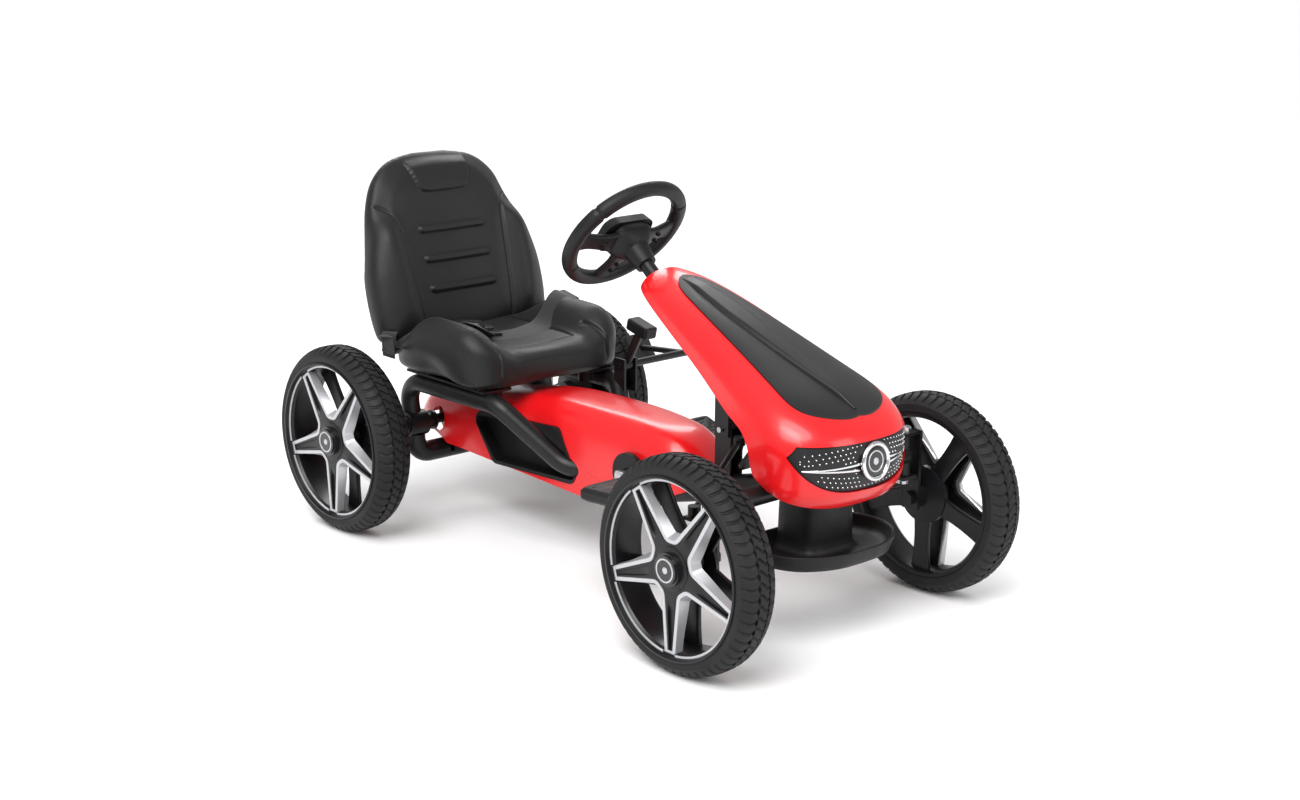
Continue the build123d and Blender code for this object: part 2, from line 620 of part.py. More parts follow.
def recess_outline(shrink=0.0):
    """The side pocket's outline, as x ahead of the rear axle and height over it."""
    corners = [(95 + shrink, 36 - shrink), (154 + shrink, -41 + shrink),
               (372 - shrink, -30 + shrink), (315 - shrink, 52 - shrink)]
    face = make_face(Polyline(*corners, close=True))
    return fillet(face.vertices(), 16 - shrink)


def make_cover():
    cover = shell(section_rows(COVER_ROWS, COVER_HALF_WIDTH, rear), COVER_WALL)
    cover = cover - bent_bar(main_route(), MAIN_BEND, FRAME_TUBE / 2 + 2)
    axle_hole = rod(rear(0, -200, 0), rear(0, 200, 0), 20)
    crank_hole = rod((CRANK_X, -200, CRANK_Z), (CRANK_X, 200, CRANK_Z), 24)
    for opening in (axle_hole, crank_hole):
        cover = cover - opening
    recesses = Part()
    bosses = Part()
    for side in SIDES.values():
        outer_y = side * (COVER_HALF_WIDTH + 1.5)
        wall_plane = Plane(origin=rear(0, outer_y, 0), x_dir=(1, 0, 0), z_dir=(0, -1, 0))
        inward = 24 * (1 if side > 0 else -1)
        tray = extrude(wall_plane * recess_outline(), amount=inward)
        pocket_plane = wall_plane.offset(-inward * 0.1)
        pocket = extrude(pocket_plane * recess_outline(6.0), amount=inward * 0.98)
        opening = extrude(wall_plane.offset(-inward) * recess_outline(), amount=inward * 3)
        cover = cover - opening
        tube_way = bent_bar(seat_points(side), SEAT_BENDS, SEAT_TUBE / 2 + 2)
        cover = cover - tube_way
        recesses = recesses + (tray - pocket - tube_way)
        boss_start = (CRANK_X, side * (COVER_HALF_WIDTH - 4), CRANK_Z)
        boss_end = (CRANK_X, side * (COVER_HALF_WIDTH + 9), CRANK_Z)
        lip_start = (CRANK_X, side * (COVER_HALF_WIDTH + 1), CRANK_Z)
        boss = rod(boss_start, boss_end, 23.5) + rod(lip_start, boss_end, 33)
        hollow = rod((CRANK_X, -200, CRANK_Z), (CRANK_X, 200, CRANK_Z), CRANK_SHAFT / 2 + 2)
        bosses = bosses + (boss - hollow)
    add("cover_recesses", recesses)
    add("crank_bosses", bosses)
    below = block(rear(-140, -100, -90), rear(95, 100, 8))
    add("chain_cover_lower", cover & below)
    add("chain_cover_upper", cover - below)


# ---- seat ---------------------------------------------------------------------------------
def seat_points(side):
    """The route of a seat tube's middle, from the rear bearing to the main tube."""
    return [
        rear(-6, side * REAR_BEARING_Y, 12),
        rear(-6, side * SEAT_TUBE_Y, SEAT_TUBE_Z - 4),
        rear(SEAT_FRONT - 6, side * SEAT_TUBE_Y, SEAT_TUBE_Z),
        rear(330, side * 68, -6),
        Vector(CRANK_X - 45, side * 10, CRANK_Z - 33),
    ]


def seat_bar(side):
    """A seat tube as a solid bar, for cutting the parts that rest on it."""
    return bent_bar(seat_points(side), SEAT_BENDS, SEAT_TUBE / 2)


def make_seat():
    width = SEAT_HALF_WIDTH
    base = block(rear(SEAT_REAR, -width, SEAT_BOTTOM), rear(SEAT_FRONT, width, SEAT_TOP), 14)
    for side in SIDES.values():
        crest = Spline((SEAT_REAR + 4, SEAT_TOP - 8), (40, BOLSTER_TOP - 10), (105, BOLSTER_TOP),
                       (190, BOLSTER_TOP - 14), (SEAT_FRONT - 4, SEAT_TOP - 14))
        foot = Line((SEAT_FRONT - 4, SEAT_TOP - 14), (SEAT_REAR + 4, SEAT_TOP - 14))
        back = Line((SEAT_REAR + 4, SEAT_TOP - 14), (SEAT_REAR + 4, SEAT_TOP - 8))
        side_plane = Plane(origin=rear(0, side * width, 0), x_dir=(1, 0, 0), z_dir=(0, -1, 0))
        base = base + extrude(side_plane * make_face([crest, foot, back]), amount=42 * side)
    add("seat_base", base)

    lean = radians(BACKREST_LEAN)
    plane = Plane(origin=rear(5, 0, SEAT_TOP + 4), x_dir=(0, 1, 0), z_dir=(cos(lean), 0, sin(lean)))

    half = [(0, 291), (70, 283), (118, 252), (139, 205), (153, 150), (164, 85), (160, 25),
            (140, -12), (0, -16)]
    left = Spline(*half)
    outline = make_face([left, mirror(left, about=Plane.YZ)])
    back = extrude(plane * outline, amount=-BACKREST_THICKNESS)
    bolster = extrude(plane * outline, amount=18)
    bolster = bolster - plane.location * Box(204, 700, 80)
    bolster = bolster - plane.location * Pos(0, 300, 0) * Box(500, 190, 80)
    add("backrest", back + bolster - base)

    rail_low, rail_high = SEAT_TUBE_Z + SEAT_TUBE / 2 - 1, SEAT_TUBE_Z + SEAT_TUBE / 2 + 3
    rails = Part()
    knobs = Part()
    for side in SIDES.values():
        low_y, high_y = sorted((side * 80, side * (SEAT_TUBE_Y + 12)))
        rail = block(rear(12, low_y, rail_low), rear(SEAT_FRONT - 24, high_y, rail_high))
        for x in (60, 190):
            slot_end = x - SEAT_TRAVEL
            slot = block(rear(slot_end - 5, side * 92 - 5, rail_low - 5),
                         rear(x + 5, side * 92 + 5, rail_high + 5))
            rail = rail - slot
            stud = rod(rear(x, side * 92, rail_low - 6), rear(x, side * 92, SEAT_BOTTOM - 10), 4)
            grip = rod(rear(x, side * 92, rail_low - 18), rear(x, side * 92, rail_low - FIT_GAP), 11)
            knobs = knobs + stud + grip
        rails = rails + (rail - seat_bar(side))
    add("seat_rails", rails)
    channels = Part()
    for x in (60, 190):
        plate = block(rear(x - 16, -width + 20, rail_high + FIT_GAP),
                      rear(x + 16, width - 20, SEAT_BOTTOM - FIT_GAP))
        hollow = block(rear(x - 13, -width - 20, rail_high - 3),
                       rear(x + 13, width + 20, SEAT_BOTTOM - 3))
        channels = channels + (plate - hollow)
    add("seat_channels", channels)
    add("seat_knobs", knobs - channels)
    belt = block(rear(46, -100, SEAT_TOP + FIT_GAP), rear(84, 112, SEAT_TOP + 2.6))
    add("lap_belt", belt)
    add("belt_buckle", block(rear(90, -108, SEAT_TOP + FIT_GAP), rear(130, -62, SEAT_TOP + 14), 3))


# ---- bumper and brake ---------------------------------------------------------------------
def bumper_outline(inset):
    """The bumper tray's outline as seen from above, ahead of the front axle."""
    curve = Spline((-51 + inset, inset - 100), (10, inset - 118), (74 - inset, inset - 94), (97 - inset, 0),
                   (74 - inset, 94 - inset), (10, 118 - inset), (-51 + inset, 100 - inset))
    return make_face([curve, Line((-51 + inset, 100 - inset), (-51 + inset, inset - 100))])


def make_bumper(main_bar, beam_bar):
    floor = Plane(origin=front(0, 0, -32))
    tray = loft([floor * bumper_outline(6), floor.offset(22) * bumper_outline(0)])
    hollow = loft([floor.offset(4) * bumper_outline(10), floor.offset(24) * bumper_outline(4)])
    pillar = block(front(-40, -44, -29), front(38, 44, 54))
    pillar = pillar - block(front(-36, -40, -60), front(34, 40, 200))
    add("bumper", tray - hollow + pillar - main_bar - beam_bar)


def make_brake():
    pivot = rear(BRAKE_PIVOT_X, 0, BRAKE_PIVOT_ABOVE_AXLE)

    def at(x, y, z):
        return Vector(pivot.X + x, y, pivot.Z + z)

    shaft_radius = 6.0
    plates = Part()
    for y in (BRAKE_LEVER_Y - 14, BRAKE_LEVER_Y + 10):
        plates = plates + block(at(-13, y, -44), at(12, y + 4, 12))
    hole = rod(at(0, 0, 0), at(0, 300, 0), shaft_radius + RUNNING_FIT)
    add("brake_bracket", plates - hole - seat_bar(SIDES["left"]))
    shoe_y = HALF_TRACK
    shaft = rod(at(0, BRAKE_LEVER_Y - 16, 0), at(0, shoe_y + 8, 0), shaft_radius)
    top = at(BRAKE_LEVER_LENGTH * 0.5, BRAKE_LEVER_Y, BRAKE_LEVER_LENGTH * 0.9)
    lever = rod(at(0, BRAKE_LEVER_Y, 0), top, 7)
    lever = lever + rod(at(0, BRAKE_LEVER_Y - 7, 0), at(0, BRAKE_LEVER_Y + 7, 0), 9)
    grip = Pos(*top) * Rot(0, 14, 0) * fillet(Box(48, 26, 20).edges(), 4)
    axle = Vector(REAR_X, 0, AXLE_Z)
    angle = 34.0
    centre_radius = WHEEL_RADIUS + BRAKE_SHOE_GAP + 6
    reach = polar(centre_radius, angle)
    shoe_centre = axle + Vector(reach.X, shoe_y, reach.Y)
    shoe = Pos(*shoe_centre) * Rot(0, -angle, 0) * fillet(Box(10, 48, 46).edges(), 3)
    arm = rod(at(0, shoe_y, 0), shoe_centre, shaft_radius - 1)
    add("brake_shoe", shoe)
    add("brake_lever", shaft + lever + arm - grip - shoe)
    add("brake_grip", grip)


if __name__ == "__main__":
    main_bar, beam_bar = make_frame()
    make_steering()
    make_column_mounts(main_bar)
    make_knuckles()
    make_wheels()
    make_drive()
    make_hood()
    make_cover()
    make_seat()
    make_bumper(main_bar, beam_bar)
    make_brake()
    os.makedirs("parts", exist_ok=True)
    for name, solid in parts.items():
        export_step(solid, f"parts/{name}.step")
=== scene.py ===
# %% [markdown]
# # A pedal go-kart
# The frame, wheels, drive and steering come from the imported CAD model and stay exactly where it
# puts them. This lesson gives them their finishes and builds the parts that CAD can't make well:
# treaded tyres, star rims with painted lines, the padded seat, its belt, and the trim of the nose.
# Lengths are in metres. +X is forwards, +Y is the driver's left and +Z is up.

# %% Load the frame
import json
import math

import bpy
import numpy as np
from mathutils import Matrix, Vector


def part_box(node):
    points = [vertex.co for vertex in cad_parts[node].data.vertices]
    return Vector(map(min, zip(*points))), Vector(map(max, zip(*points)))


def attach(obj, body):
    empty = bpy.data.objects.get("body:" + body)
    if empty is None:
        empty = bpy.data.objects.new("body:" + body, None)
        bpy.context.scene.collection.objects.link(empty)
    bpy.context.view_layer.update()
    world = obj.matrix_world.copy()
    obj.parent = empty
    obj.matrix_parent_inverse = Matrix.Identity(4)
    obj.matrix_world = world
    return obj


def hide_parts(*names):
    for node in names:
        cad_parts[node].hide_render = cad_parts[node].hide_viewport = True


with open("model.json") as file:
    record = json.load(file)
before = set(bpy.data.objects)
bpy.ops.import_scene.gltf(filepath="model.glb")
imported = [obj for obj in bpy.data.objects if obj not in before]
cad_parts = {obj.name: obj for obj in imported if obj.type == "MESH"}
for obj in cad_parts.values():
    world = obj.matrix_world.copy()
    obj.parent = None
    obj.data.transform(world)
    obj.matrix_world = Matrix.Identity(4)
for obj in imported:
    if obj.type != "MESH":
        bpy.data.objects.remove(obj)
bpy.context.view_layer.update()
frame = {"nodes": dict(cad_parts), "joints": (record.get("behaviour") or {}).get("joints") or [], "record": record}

nodes = frame["nodes"]
joints = {joint["name"]: joint for joint in frame["joints"]}

# %% [markdown]
# ## Camera
# A long lens from the front right, a little above the hood. The view is built from an azimuth,
# an elevation and a slight roll, so the three axes of the camera are worked out rather than typed.

# %% Camera
CAMERA_PLACE = Vector((2.27188, -2.01149, 1.06086))
CAMERA_AZIMUTH, CAMERA_ELEVATION, CAMERA_ROLL = (math.radians(a) for a in (47.82, 14.94, 0.53))
LENS = 57.1

camera_data = bpy.data.cameras.new("camera")
camera_data.lens = LENS
camera_data.sensor_width = 36.0
camera = bpy.data.objects.new("camera", camera_data)
bpy.context.scene.collection.objects.link(camera)
back = Vector((math.sin(CAMERA_AZIMUTH) * math.cos(CAMERA_ELEVATION),
               -math.cos(CAMERA_AZIMUTH) * math.cos(CAMERA_ELEVATION),
               math.sin(CAMERA_ELEVATION)))
level = Vector((math.cos(CAMERA_AZIMUTH), math.sin(CAMERA_AZIMUTH), 0))
upright = back.cross(level)
right = level * math.cos(CAMERA_ROLL) + upright * math.sin(CAMERA_ROLL)
up = upright * math.cos(CAMERA_ROLL) - level * math.sin(CAMERA_ROLL)
camera.matrix_world = Matrix.Translation(CAMERA_PLACE) @ Matrix((right, up, back)).transposed().to_4x4()
bpy.context.scene.camera = camera
print("camera looks along", tuple(round(v, 3) for v in -back))

# %% [markdown]
# ## Mesh tools
# Every new piece is a grid of points worked out with numpy. Two kinds of grid cover them all: one
# that closes on itself both ways, like a ring, and one that is a stack of loops whose two ends are
# closed by a point, like a bottle. The signed volume tells whether the faces look outwards.

# %% Grids into faces
def grid_faces(rows, columns, wrap_rows):
    """Corners (r, c), (r, c+1), (r+1, c+1), (r+1, c) of every square; columns always wrap round."""
    r, c = np.meshgrid(np.arange(rows if wrap_rows else rows - 1), np.arange(columns), indexing="ij")
    r2, c2 = (r + 1) % rows, (c + 1) % columns
    corners = (r * columns + c, r * columns + c2, r2 * columns + c2, r2 * columns + c)
    return np.stack(corners, -1).reshape(-1, 4)


def ring_surface(points):
    """A grid of points that closes both ways."""
    rows, columns, _ = points.shape
    return points.reshape(-1, 3), grid_faces(rows, columns, True), np.zeros((0, 3), int)


def stack_surface(points):
    """A stack of loops; each end is closed by a fan to the mean of its loop."""
    rows, columns, _ = points.shape
    ends = np.stack([points[0].mean(0), points[-1].mean(0)])
    first, last = rows * columns, rows * columns + 1
    c = np.arange(columns)
    c2 = (c + 1) % columns
    foot = np.stack([np.full(columns, first), c2, c], -1)
    top = np.stack([np.full(columns, last), (rows - 1) * columns + c, (rows - 1) * columns + c2], -1)
    caps = np.concatenate([foot, top])
    return np.concatenate([points.reshape(-1, 3), ends]), grid_faces(rows, columns, False), caps


def outward(surface):
    """The surface with faces turned over if its volume, the sum of a . (b x c) / 6, is negative."""
    points, quads, triangles = surface
    all_triangles = np.concatenate([quads[:, [0, 1, 2]], quads[:, [0, 2, 3]], triangles])
    a, b, c = (points[all_triangles[:, i]] for i in range(3))
    volume = np.einsum("ij,ij->i", a, np.cross(b, c)).sum()
    return (points, quads, triangles) if volume > 0 else (points, quads[:, ::-1], triangles[:, ::-1])


def make_piece(name, surfaces, material, body, crease=0.6):
    """One object from a list of surfaces, smooth except where faces meet at more than crease radians."""
    points, faces, count = [], [], 0
    for surface in surfaces:
        own_points, quads, triangles = outward(surface)
        points.append(own_points)
        faces += (quads + count).tolist() + (triangles + count).tolist()
        count += len(own_points)
    mesh = bpy.data.meshes.new(name)
    mesh.from_pydata(np.concatenate(points).tolist(), [], faces)
    mesh.shade_smooth()
    mesh.set_sharp_from_angle(angle=crease)
    mesh.materials.append(material)
    piece = bpy.data.objects.new(name, mesh)
    bpy.context.scene.collection.objects.link(piece)
    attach(piece, body)
    print(name, "faces:", len(faces))
    return piece


# %% [markdown]
# ## Shapes along a path
# A path is a row of points. Its direction comes from the differences between neighbours, and a
# profile of (across, up) pairs is carried along it, square to that direction.

# %% Paths and profiles
def smooth_path(corners, count):
    """A Catmull-Rom curve through the corners, count points in all."""
    corners = np.asarray(corners, float)
    padded = np.concatenate([2 * corners[:1] - corners[1:2], corners, 2 * corners[-1:] - corners[-2:-1]])
    place = np.linspace(0, len(corners) - 1 - 1e-9, count)
    i = place.astype(int)
    t = (place - i)[:, None]
    a, b, c, d = (padded[i + k] for k in range(4))
    return 0.5 * (2 * b + (c - a) * t + (2 * a - 5 * b + 4 * c - d) * t**2 + (3 * b - a - 3 * c + d) * t**3)


def unit(vectors):
    return vectors / np.maximum(np.linalg.norm(vectors, axis=-1, keepdims=True), 1e-12)


def carry(path, profile, upward, closed=False):
    """path + across * side + up * normal, where side = direction x upward and normal = side x direction."""
    if closed:
        along = unit(np.roll(path, -1, 0) - np.roll(path, 1, 0))
    else:
        along = unit(np.gradient(path, axis=0))
    side = unit(np.cross(along, np.broadcast_to(upward, along.shape)))
    normal = np.cross(side, along)
    profile = np.asarray(profile, float)
    if profile.ndim == 2:
        profile = np.broadcast_to(profile, (len(path),) + profile.shape)
    return path[:, None] + profile[..., :1] * side[:, None] + profile[..., 1:] * normal[:, None]


def oval(width, height, power=2.0, count=24):
    """A superellipse loop: (w cos^(2/n), h sin^(2/n)) with signs kept."""
    turn = np.arange(count) * 2 * np.pi / count
    c, s = np.cos(turn), np.sin(turn)
    return np.stack([width * np.sign(c) * np.abs(c) ** (2 / power),
                     height * np.sign(s) * np.abs(s) ** (2 / power)], -1)


def rise(value, low, high):
    """0 below low, 1 above high, with a smooth start and end between."""
    t = np.clip((value - low) / (high - low), 0, 1)
    return t * t * (3 - 2 * t)


# %% [markdown]
# ## Finishes
# Each finish is a Principled shader. Its colour and gloss that are the same everywhere sit on the
# shader's own sockets, and only what changes from place to place comes from noise: a moulded grain
# or orange peel in the bump, and slight dulling in the roughness.

# %% Finish helpers
def new_finish(name, colour, roughness, metallic=0.0, coat=0.0, coat_roughness=0.1, sheen=0.0, specular=0.3):
    material = bpy.data.materials.new(name)
    material.use_nodes = True
    shader = material.node_tree.nodes["Principled BSDF"]
    shader.inputs["Base Color"].default_value = (*colour, 1)
    shader.inputs["Roughness"].default_value = roughness
    shader.inputs["Metallic"].default_value = metallic
    shader.inputs["Coat Weight"].default_value = coat
    shader.inputs["Coat Roughness"].default_value = coat_roughness
    shader.inputs["Sheen Weight"].default_value = sheen
    shader.inputs["Specular IOR Level"].default_value = specular
    material.diffuse_color = (*colour, 1)
    return material


def noise_of(material, scale, detail=3.0, kind="ShaderNodeTexNoise"):
    """A noise or cell texture on the object's own coordinates."""
    tree = material.node_tree
    place = tree.nodes.new("ShaderNodeTexCoord")
    texture = tree.nodes.new(kind)
    texture.inputs["Scale"].default_value = scale
    if "Detail" in texture.inputs:
        texture.inputs["Detail"].default_value = detail
    tree.links.new(place.outputs["Object"], texture.inputs["Vector"])
    return texture


def add_grain(material, scale, strength, distance, kind="ShaderNodeTexNoise"):
    """Bump from a texture; distance is the grain's depth in metres."""
    tree = material.node_tree
    texture = noise_of(material, scale, kind=kind)
    bump = tree.nodes.new("ShaderNodeBump")
    bump.inputs["Strength"].default_value = strength
    bump.inputs["Distance"].default_value = distance
    height = texture.outputs["Distance" if kind == "ShaderNodeTexVoronoi" else "Fac"]
    tree.links.new(height, bump.inputs["Height"])
    previous = material.node_tree.nodes["Principled BSDF"].inputs["Normal"]
    if previous.is_linked:
        tree.links.new(previous.links[0].from_socket, bump.inputs["Normal"])
    tree.links.new(bump.outputs["Normal"], previous)
    return material


def add_dulling(material, scale, low, high):
    """Roughness wanders between low and high over patches of the given scale."""
    tree = material.node_tree
    texture = noise_of(material, scale, 5.0)
    spread = tree.nodes.new("ShaderNodeMapRange")
    spread.inputs["From Min"].default_value = 0.3
    spread.inputs["From Max"].default_value = 0.7
    spread.inputs["To Min"].default_value = low
    spread.inputs["To Max"].default_value = high
    tree.links.new(texture.outputs["Fac"], spread.inputs["Value"])
    tree.links.new(spread.outputs["Result"], tree.nodes["Principled BSDF"].inputs["Roughness"])
    return material


def add_tint(material, scale, first, second):
    """Colour wanders between two close shades over patches of the given scale."""
    tree = material.node_tree
    texture = noise_of(material, scale, 4.0)
    ramp = tree.nodes.new("ShaderNodeValToRGB")
    ramp.color_ramp.elements[0].position = 0.35
    ramp.color_ramp.elements[0].color = (*first, 1)
    ramp.color_ramp.elements[1].position = 0.65
    ramp.color_ramp.elements[1].color = (*second, 1)
    tree.links.new(texture.outputs["Fac"], ramp.inputs["Fac"])
    tree.links.new(ramp.outputs["Color"], tree.nodes["Principled BSDF"].inputs["Base Color"])
    return material


# %% [markdown]
# The colours are dark and close together, so gloss tells the parts apart more than colour does.

# %% The finishes
powder_black = new_finish("powder_black", (0.005, 0.005, 0.0055), 0.38, coat=0.1, coat_roughness=0.3)
add_grain(powder_black, 900, 0.25, 0.0004)
add_dulling(powder_black, 14, 0.33, 0.45)

gloss_red = new_finish("gloss_red", (0.78, 0.008, 0.012), 0.3, coat=0.4, coat_roughness=0.12, specular=0.4)
add_tint(gloss_red, 5, (0.68, 0.005, 0.008), (0.74, 0.007, 0.010))
add_dulling(gloss_red, 9, 0.27, 0.36)
add_grain(gloss_red, 260, 0.05, 0.0006)

satin_black = new_finish("satin_black", (0.008, 0.008, 0.009), 0.42, coat=0.15, coat_roughness=0.35)
add_grain(satin_black, 1500, 0.3, 0.0002)
add_dulling(satin_black, 11, 0.36, 0.47)

moulded_black = new_finish("moulded_black", (0.006, 0.006, 0.0065), 0.5)
add_grain(moulded_black, 1100, 0.35, 0.0003)
add_dulling(moulded_black, 20, 0.42, 0.56)

deep_black = new_finish("deep_black", (0.008, 0.008, 0.009), 0.55)
add_grain(deep_black, 900, 0.3, 0.0003)

chrome = new_finish("chrome", (0.70, 0.70, 0.72), 0.1, metallic=1.0)
add_dulling(chrome, 40, 0.06, 0.16)

zinc_steel = new_finish("zinc_steel", (0.55, 0.55, 0.57), 0.35, metallic=1.0)
add_tint(zinc_steel, 120, (0.46, 0.46, 0.47), (0.62, 0.62, 0.64))
add_dulling(zinc_steel, 60, 0.28, 0.45)

chain_steel = new_finish("chain_steel", (0.19, 0.18, 0.16), 0.42, metallic=1.0)
add_tint(chain_steel, 300, (0.10, 0.09, 0.08), (0.26, 0.25, 0.22))

seat_skin = new_finish("seat_skin", (0.006, 0.006, 0.0065), 0.42, coat=0.06, coat_roughness=0.35, sheen=0.05)
add_grain(seat_skin, 700, 0.35, 0.0004, "ShaderNodeTexVoronoi")
add_grain(seat_skin, 90, 0.08, 0.0008)
add_dulling(seat_skin, 7, 0.40, 0.52)

tyre_rubber = new_finish("tyre_rubber", (0.019, 0.019, 0.020), 0.62)
add_tint(tyre_rubber, 30, (0.007, 0.007, 0.0075), (0.011, 0.011, 0.0115))
add_grain(tyre_rubber, 1300, 0.3, 0.0003)
add_dulling(tyre_rubber, 12, 0.54, 0.68)

rim_black = new_finish("rim_black", (0.005, 0.005, 0.006), 0.34, coat=0.1, coat_roughness=0.2)
add_grain(rim_black, 800, 0.15, 0.0003)
add_dulling(rim_black, 18, 0.3, 0.44)

line_silver = new_finish("line_silver", (0.52, 0.52, 0.54), 0.34, metallic=0.55)
add_dulling(line_silver, 80, 0.28, 0.4)

cap_gloss = new_finish("cap_gloss", (0.01, 0.01, 0.011), 0.18, coat=0.6, coat_roughness=0.08)
add_grain(cap_gloss, 300, 0.05, 0.0003)

webbing = new_finish("webbing", (0.016, 0.016, 0.016), 0.75, sheen=0.25)
buckle_black = new_finish("buckle_black", (0.013, 0.013, 0.014), 0.32)
add_grain(buckle_black, 900, 0.2, 0.0003)
brake_rubber = new_finish("brake_rubber", (0.02, 0.02, 0.02), 0.8)
add_grain(brake_rubber, 900, 0.4, 0.0004)
print("finishes:", len(bpy.data.materials))

# %% [markdown]
# Woven webbing has fine ribs across its length. The ribs follow the strap's own UV map, whose
# first coordinate runs along the strap in metres, so they bend with it.

# %% Webbing ribs
RIB_PITCH = 0.0016
tree = webbing.node_tree
uv_place = tree.nodes.new("ShaderNodeTexCoord")
ribs = tree.nodes.new("ShaderNodeTexWave")
ribs.bands_direction = "X"
ribs.inputs["Scale"].default_value = 2 * math.pi / (RIB_PITCH * 20)
ribs.inputs["Distortion"].default_value = 0.4
rib_bump = tree.nodes.new("ShaderNodeBump")
rib_bump.inputs["Distance"].default_value = 0.0004
rib_bump.inputs["Strength"].default_value = 0.8
tree.links.new(uv_place.outputs["UV"], ribs.inputs["Vector"])
tree.links.new(ribs.outputs["Fac"], rib_bump.inputs["Height"])
tree.links.new(rib_bump.outputs["Normal"], tree.nodes["Principled BSDF"].inputs["Normal"])

# %% [markdown]
# ## Finishes on the CAD nodes
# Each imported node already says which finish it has, as a material slot in the record. A node
# keeps its shape and only gets the matching material. The rear axle is the one exception: what
# shows of it is a black spacer.

# %% Dress the CAD nodes
FINISH_OF_SLOT = {
    "frame_black": powder_black, "body_red": gloss_red, "panel_black": satin_black, "trim_chrome": chrome,
    "moulding_black": moulded_black, "bush_plastic": moulded_black, "zinc_steel": zinc_steel,
    "chain_steel": chain_steel, "seat_skin": seat_skin, "webbing": webbing, "buckle_plastic": buckle_black,
    "brake_rubber": brake_rubber, "tyre_rubber": tyre_rubber, "rim_black": rim_black,
    "hub_cap_black": cap_gloss,
}
slot_of_node = {}
for row in frame["record"]["subparts"]:
    slot_of_node[row["node"]] = row["material_slot"]
for name, node in nodes.items():
    material = FINISH_OF_SLOT.get(slot_of_node.get(name), moulded_black)
    if name == "rear_axle":
        material = powder_black
    if not node.material_slots:
        node.data.materials.append(material)
    for material_slot in node.material_slots:
        material_slot.material = material
print("dressed:", len(nodes), "named in slots:", len(slot_of_node))

# %% [markdown]
# ## Wheels
# All four wheels share one set of shapes. A wheel's own place is (radius, angle, outward), and a
# small function turns that into the frame, with the angle measured from forwards towards up.

# %% Wheel places
WHEELS = {
    "rear_right": ("wheel_rear_right", -1), "rear_left": ("drive_axle", 1),
    "front_right": ("wheel_front_right", -1), "front_left": ("wheel_front_left", 1),
}


def wheel_middle(name):
    low, high = (np.array(corner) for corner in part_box("tyre_" + name))
    return (low + high) / 2


def wheel_point(middle, side, radius, angle, out):
    """middle + (r cos a, side * out, r sin a), for whole arrays at once."""
    radius, angle, out = np.broadcast_arrays(radius, angle, out)
    return middle + np.stack([radius * np.cos(angle), side * out, radius * np.sin(angle)], -1)


tyre_low, tyre_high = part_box("tyre_front_right")
TYRE_RADIUS = (tyre_high.z - tyre_low.z) / 2
TYRE_HALF_WIDTH = (tyre_high.y - tyre_low.y) / 2
print("tyre radius", round(TYRE_RADIUS, 4), "half width", round(TYRE_HALF_WIDTH, 4))

# %% [markdown]
# ### Tyres
# A hard rubber tyre with 60 lugs each side. It could be one lug repeated, but the lugs follow a
# curved crown, so the whole tread is one surface: rows run across the crown and columns run round
# it. The columns lean with the grooves and the rows wander with the zigzag, so that every groove
# wall falls exactly on a grid line and stays crisp with few faces.

# %% Tyres
LUGS = 60
LUG_STEPS = np.array([0.0, 0.03, 0.12, 0.15, 0.36, 0.58, 0.79])
LUG_CUT = np.array([1.0, 1.0, 1.0, 0.0, 0.0, 0.0, 0.0])
CROWN_ROWS = np.array([0, 5, 9.3, 10.0, 10.4, 13.0, 13.6, 17, 21, 25, 28.5, 32, 35, 37.5, 38.5]) / 1000
ZIGZAG_ROWS = np.array([0, 0, 1, 1, 1, 1, 1, 0.6, 0.3, 0.1, 0, 0, 0, 0, 0])
RING_CUT = np.array([0, 0, 0, 0, 1, 1, 0, 0, 0, 0, 0, 0, 0, 0, 0])
LUG_DEPTH = np.array([2.4, 2.6, 2.6, 2.6, 3.4, 3.4, 2.6, 2.6, 2.8, 3.0, 3.0, 2.8, 2.4, 1.6, 0.0]) / 1000
LUG_LEAN = np.array([0.75, 0.5, 0.5, 0.5, 0.5, 0.2, 0.14, 0.05, 0, 0, 0.03, 0.09, 0.16, 0.24, 0.28])
LUG_SHARE = np.array([0.9, 0.9, 0.9, 0.9, 1, 1, 0.9, 0.9, 1, 1, 1, 1, 1, 1, 1])


def crown(across):
    """Height of the tread under its top: flat in the middle, falling as a power at the shoulder."""
    return 0.012 * (np.abs(across) / 0.0385) ** 3.2


